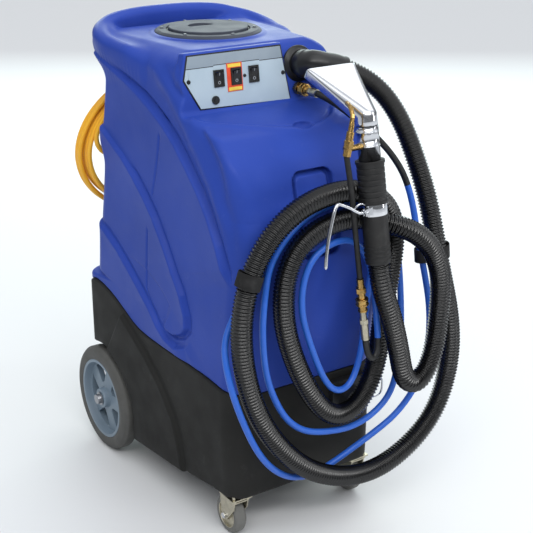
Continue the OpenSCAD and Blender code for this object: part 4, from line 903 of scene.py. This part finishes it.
def dress(names, mat, bevel):
    """Gives the CAD nodes a material and rounds their edges by bevel millimetres."""
    for nm in names.split():
        o = nodes[nm]
        for i in range(max(1, len(o.material_slots))):
            if not o.material_slots:
                o.data.materials.append(mat)
            o.material_slots[i].link = "OBJECT"
            o.material_slots[i].material = mat
        soften(o, bevel)


# CAD nodes that show as they are: names, material, edge radius
for row in (
    ("tyre_left tyre_right", TYRE, 1.5),
    ("rim_left rim_right", RIM, 1.4),
    ("rear_axle hub_cap_left hub_cap_right", AXLE, 0.8),
    ("caster_axle_left caster_axle_right", CHROME, 0.8),
    ("caster_plates caster_fork_left caster_fork_right caster_bolts", ZINC, 0.6),
    ("caster_tyre_left caster_tyre_right", CASTER_R, 1.2),
    ("caster_hub_left caster_hub_right", ZINC, 0.5),
    ("lid_ring", LID_GREY, 1),
    ("lid_gasket tool_cuff tool_grip", BLACK_R, 0.6),
    ("screws", screw_material(), 0.3),
    ("control_panel", panel_material(), 0.3),
    ("switch_surround", surround_material(), 0.15),
    ("rocker_frames breaker_body inlet_port cord_hooks dump_valve", BLACK_P, 0.5),
    ("rocker_left rocker_middle rocker_right", rocker_material(), 0.4),
    ("breaker_button", BLACK_P, 0.4),
    ("panel_coupler panel_sleeve spray_valve whip_coupler whip_sleeve", BRASS, 0.5),
    ("line_ferrule whip_plug", ZINC, 0.5),
    ("tool_tube", STEEL, 0),
    ("tool_band dump_gate", CHROME, 0.6),
    ("vac_motor", MOTOR, 1.5),
    ("pump", BLACK_P, 1.5),
    ("standpipe", PALE_P, 0.8),
    ("power_plug", CORD_YELLOW, 0.8)):
    dress(*row)

lid = mesh("lid_disc", *nets(lid_field, (-84, 20, 886), (84, 188, 914), 1.6), LID_GREY)
give(lid, "lid", ["tank_lid"])

# ---- hand tool


def tool_frame():
    """The source's on_tool frame, its columns x, y, z: Z turned onto the tube by the shortest way."""
    z = (TOOL_TOP - TOOL_BOT) / np.linalg.norm(TOOL_TOP - TOOL_BOT)
    return np.array(Vector((0, 0, 1)).rotation_difference(Vector(z)).to_matrix())


TOOL_AXES = tool_frame()


def on_tool(p):
    """A point given along the tube, from its lower end, in the scene's millimetres."""
    return TOOL_BOT + TOOL_AXES @ np.array(p, float)


HEAD_FOOT = np.array([50.0, -322, 798])          # the fan's round end on the neck
HEAD_BEND = np.array([50.0, -319, 813])
HEAD_MOUTH = np.array([50.0, -216, 873])


def head_piece():
    """A square-to-round sheet fan: straight lines from the neck's round section to the flat mouth."""
    t0, t1 = HEAD_BEND - HEAD_FOOT, HEAD_MOUTH - HEAD_BEND
    t0, t1 = t0 / np.linalg.norm(t0), t1 / np.linalg.norm(t1)
    half = (t0 + t1) / np.linalg.norm(t0 + t1)
    ex = np.array([1.0, 0, 0])
    k0, k1 = np.cross(t0, ex), np.cross(t1, ex)
    sides = 96
    a = -2 * math.pi * (np.arange(sides) + 0.5) / sides
    ca, sa = np.cos(a), np.sin(a)

    def foot(r):                                  # ring of radius r on the neck
        return HEAD_FOOT + np.outer(ca * r, ex) + np.outer(sa * r, k0)

    def bend(r):                                  # the same ring, slid to the mitre
        p = foot(r)
        return p + np.outer(((HEAD_BEND - p) @ half) / (t0 @ half), t0)

    def mouth(inset, slide=0.0):                  # rounded oblong at the mouth
        w = np.sign(ca) * np.abs(ca) ** 0.22 * (51 - inset)
        h = np.sign(sa) * np.abs(sa) ** 0.22 * (10.6 - inset)
        return HEAD_MOUTH + np.outer(w, ex) + np.outer(h, k1) + t1 * slide

    def between(p, q, n):
        return [p + (q - p) * i / n for i in range(1, n + 1)]

    rings = [foot(19)] + between(foot(19), bend(19), 3) + between(bend(19), mouth(0), 26)
    rings += [mouth(0.1, 0.4), mouth(0.8, 0.7), mouth(1.5, 0.4)]
    rings += between(mouth(1.6), bend(17.4), 12) + [foot(17.4)]
    return mesh("head_fan", np.concatenate(rings), grid_quads(len(rings), sides, True)[:, ::-1], STEEL)


give(head_piece(), replaces=["tool_head"])

# Bent rod of the trigger and the wire bail on its pin, in the tool's frame
TRIG_Y, TRIG_PIN = -12, (-26, -12, 96)
TRIG_ROD = [(-38, 97), (-46, 101.5), (-58, 110), (-68, 115.8), (-76, 119.8), (-81, 121.3), (-85.5, 120),
            (-89, 115.5), (-93, 108), (-97, 98), (-104, 80), (-110, 62), (-116, 40), (-120, 18)]
BAIL = [[-24, -8, 108], [-34, -9, 112], [-42, -5, 107], [-41, 2, 99], [-33, 8, 94], [-22, 12, 93]]
rod_path = even(spline([on_tool((x, TRIG_Y, z)) for x, z in TRIG_ROD], 8), 110)
rod_r = np.full(len(rod_path), 3.0)
rod_r[-3:] = [2.6, 1.8, 0.9]
trigger = tube("trigger_rod", rod_path, rod_r, 16, STEEL)
hub = lathe("trigger_eye", [[2.0, -2], [4.6, -2], [5, -1.6], [5, 1.6], [4.6, 2], [2.0, 2]],
            on_tool(TRIG_PIN), TOOL_AXES[:, 1], STEEL, 32, closed=True)
neck = tube("trigger_neck", np.array([on_tool((x, TRIG_Y, z)) for x, z in ((-30, 96.5), (-34, 96.8), (-39, 97.4))]),
            [2.2, 2.6, 3.0], 14, STEEL)
pin = lathe("trigger_pin", [[2, -5.4], [2, 5.4], [3.1, 5.5], [3.1, 6.2], [2.4, 6.7]],
            on_tool(TRIG_PIN), TOOL_AXES[:, 1], STEEL, 24)
bail = tube("trigger_bail", even(spline([on_tool(p) for p in BAIL], 10), 60), 1.8, 12, STEEL)
for o in (hub, neck, pin, bail):
    o.parent = trigger
give(trigger, "trigger", ["tool_trigger"])

# whip hose between the spray valve and its coupler
WHIP = [[-3, -338, 757], [0, -338, 742], [6, -338, 712], [11, -338, 683], [20, -338, 620],
        [28, -338, 566], [33, -338, 532]]
whip_path = even(spline(WHIP, 12), 90)
whip = tube("whip_hose_tube", whip_path, WHIP_R, 16, BLACK_R)
give(whip, replaces=["whip_hose"])

# ---- inlet cuff
CUFF = [panel_pt(*PORT_AT, 8), panel_pt(*PORT_AT, 22), [92, -112, 864], [108, -122, 861], [128, -126, 857], HOSE[0]]
cuff_path = even(spline(CUFF, 16), 64)
cuff_r = np.interp(np.linspace(0, 1, len(cuff_path)), [0, 0.02, 0.16, 0.19, 0.24, 0.9, 0.93, 0.985, 1.0],
                   [24.5, 26, 26, 25.2, 24, 21.6, 22.6, 22.4, 20.6])
cuff = tube("inlet_cuff_cone", cuff_path, cuff_r, 40, BLACK_P)
give(cuff, replaces=["inlet_cuff"])
collar = lathe("inlet_collar", [[24, 0], [32.5, 0], [33, 0.6], [33, 3.6], [31.5, 5], [27, 5.4], [26, 9], [24, 9.6]],
               panel_pt(*PORT_AT, -9.5), panel_pt(0, 0, 1) - panel_pt(0, 0, 0), BLACK_P, 56)
give(collar)


# ---- hose straps
STRAP_T = 1.5
STRAP_EDGE = [(0.0, -13), (1.2, -13), (1.6, -12.4), (1.35, -10.6), (1.6, -9.8), (1.6, 9.8), (1.35, 10.6),
              (1.6, 12.4), (1.2, 13), (0.0, 13), (0.0, 6), (0.0, -6)]      # thickness and height, stitched rims


def strap(name, hose_c, line_c, lean, play, node):
    """A flat band round the hose and the line: the hull of two circles, leaning about y."""
    n = 72
    line_off = (np.array(line_c, float) - hose_c)[:2]
    a = np.linspace(0, 2 * math.pi, n, endpoint=False)
    out, side = np.stack([np.cos(a), np.sin(a)], 1), np.stack([-np.sin(a), np.cos(a)], 1)
    round_hose, round_line = HOSE_R + STRAP_T, out @ line_off + LINE_R + play + STRAP_T
    reach = np.maximum(round_hose, round_line)            # support function of the hull
    turn = np.where(round_hose > round_line, 0.0, side @ line_off)
    ring = out * reach[:, None] + side * turn[:, None]
    la = math.radians(lean)
    tilt = np.array([[math.cos(la), 0, math.sin(la)], [0, 1, 0], [-math.sin(la), 0, math.cos(la)]])
    v = [np.c_[ring + out * off, np.full(n, z)] @ tilt.T + np.array(hose_c, float) for off, z in STRAP_EDGE]
    o = mesh(name, np.concatenate(v), grid_quads(len(STRAP_EDGE), n, True)[:, ::-1], STRAP)
    return give(o, replaces=[node])


strap("strap_band_right", (263, -280, 520), (227, -273.5, 520), -6, 3, "strap_right")
strap("strap_band_left", (-171, -300, 560), (-146, -278.5, 560), 20, 2.2, "strap_left")


# ---- black strip round the switch panel: painted shadow for the dark gap under its edge
def panel_shadow_strip():
    """A thin black strip, a little wider than the panel all round: painted shadow standing in for the dark gap
    under the panel's edge.
    """
    c = PANEL_PTS.mean(0)
    n = len(PANEL_PTS)

    def grown(off):
        out = []
        for i in range(n):
            a, b, d = PANEL_PTS[i - 1], PANEL_PTS[i], PANEL_PTS[(i + 1) % n]
            n1, n2 = [np.array([-(q - p)[1], (q - p)[0]]) / np.linalg.norm(q - p) for p, q in ((a, b), (b, d))]
            n1, n2 = (v if v @ (b - c) > 0 else -v for v in (n1, n2))
            m = (n1 + n2) / np.linalg.norm(n1 + n2)
            out.append(b + m * off / (m @ n1))
        return out

    rings = [(-1.0, 0.2), (1.9, 0.2), (2.4, 0.6), (2.2, 1.3), (1.7, 1.5), (0.1, 1.5), (-1.0, 1.4)]
    v = [panel_pt(p[0], p[1], h) for off, h in rings for p in grown(off)]
    return mesh("panel_shadow_strip", np.array(v), grid_quads(len(rings), n, True), BLACK_R, smooth=False)


# the black strip is painted shadow, not a real part
give(panel_shadow_strip())

# ---- floor
floor_mat = Nodes("floor")
floor_mat.set(Base_Color=(0.72, 0.73, 0.74), Roughness=0.7)
half = 60.0                                     # metres, past the horizon that the camera sees
floor_me = bpy.data.meshes.new("floor")
floor_me.from_pydata([(-half, -half, 0), (half, -half, 0), (half, half, 0), (-half, half, 0)], [], [(0, 1, 2, 3)])
floor_me.materials.append(floor_mat.m)
floor = bpy.data.objects.new("floor", floor_me)
scene.collection.objects.link(floor)

bpy.context.view_layer.update()
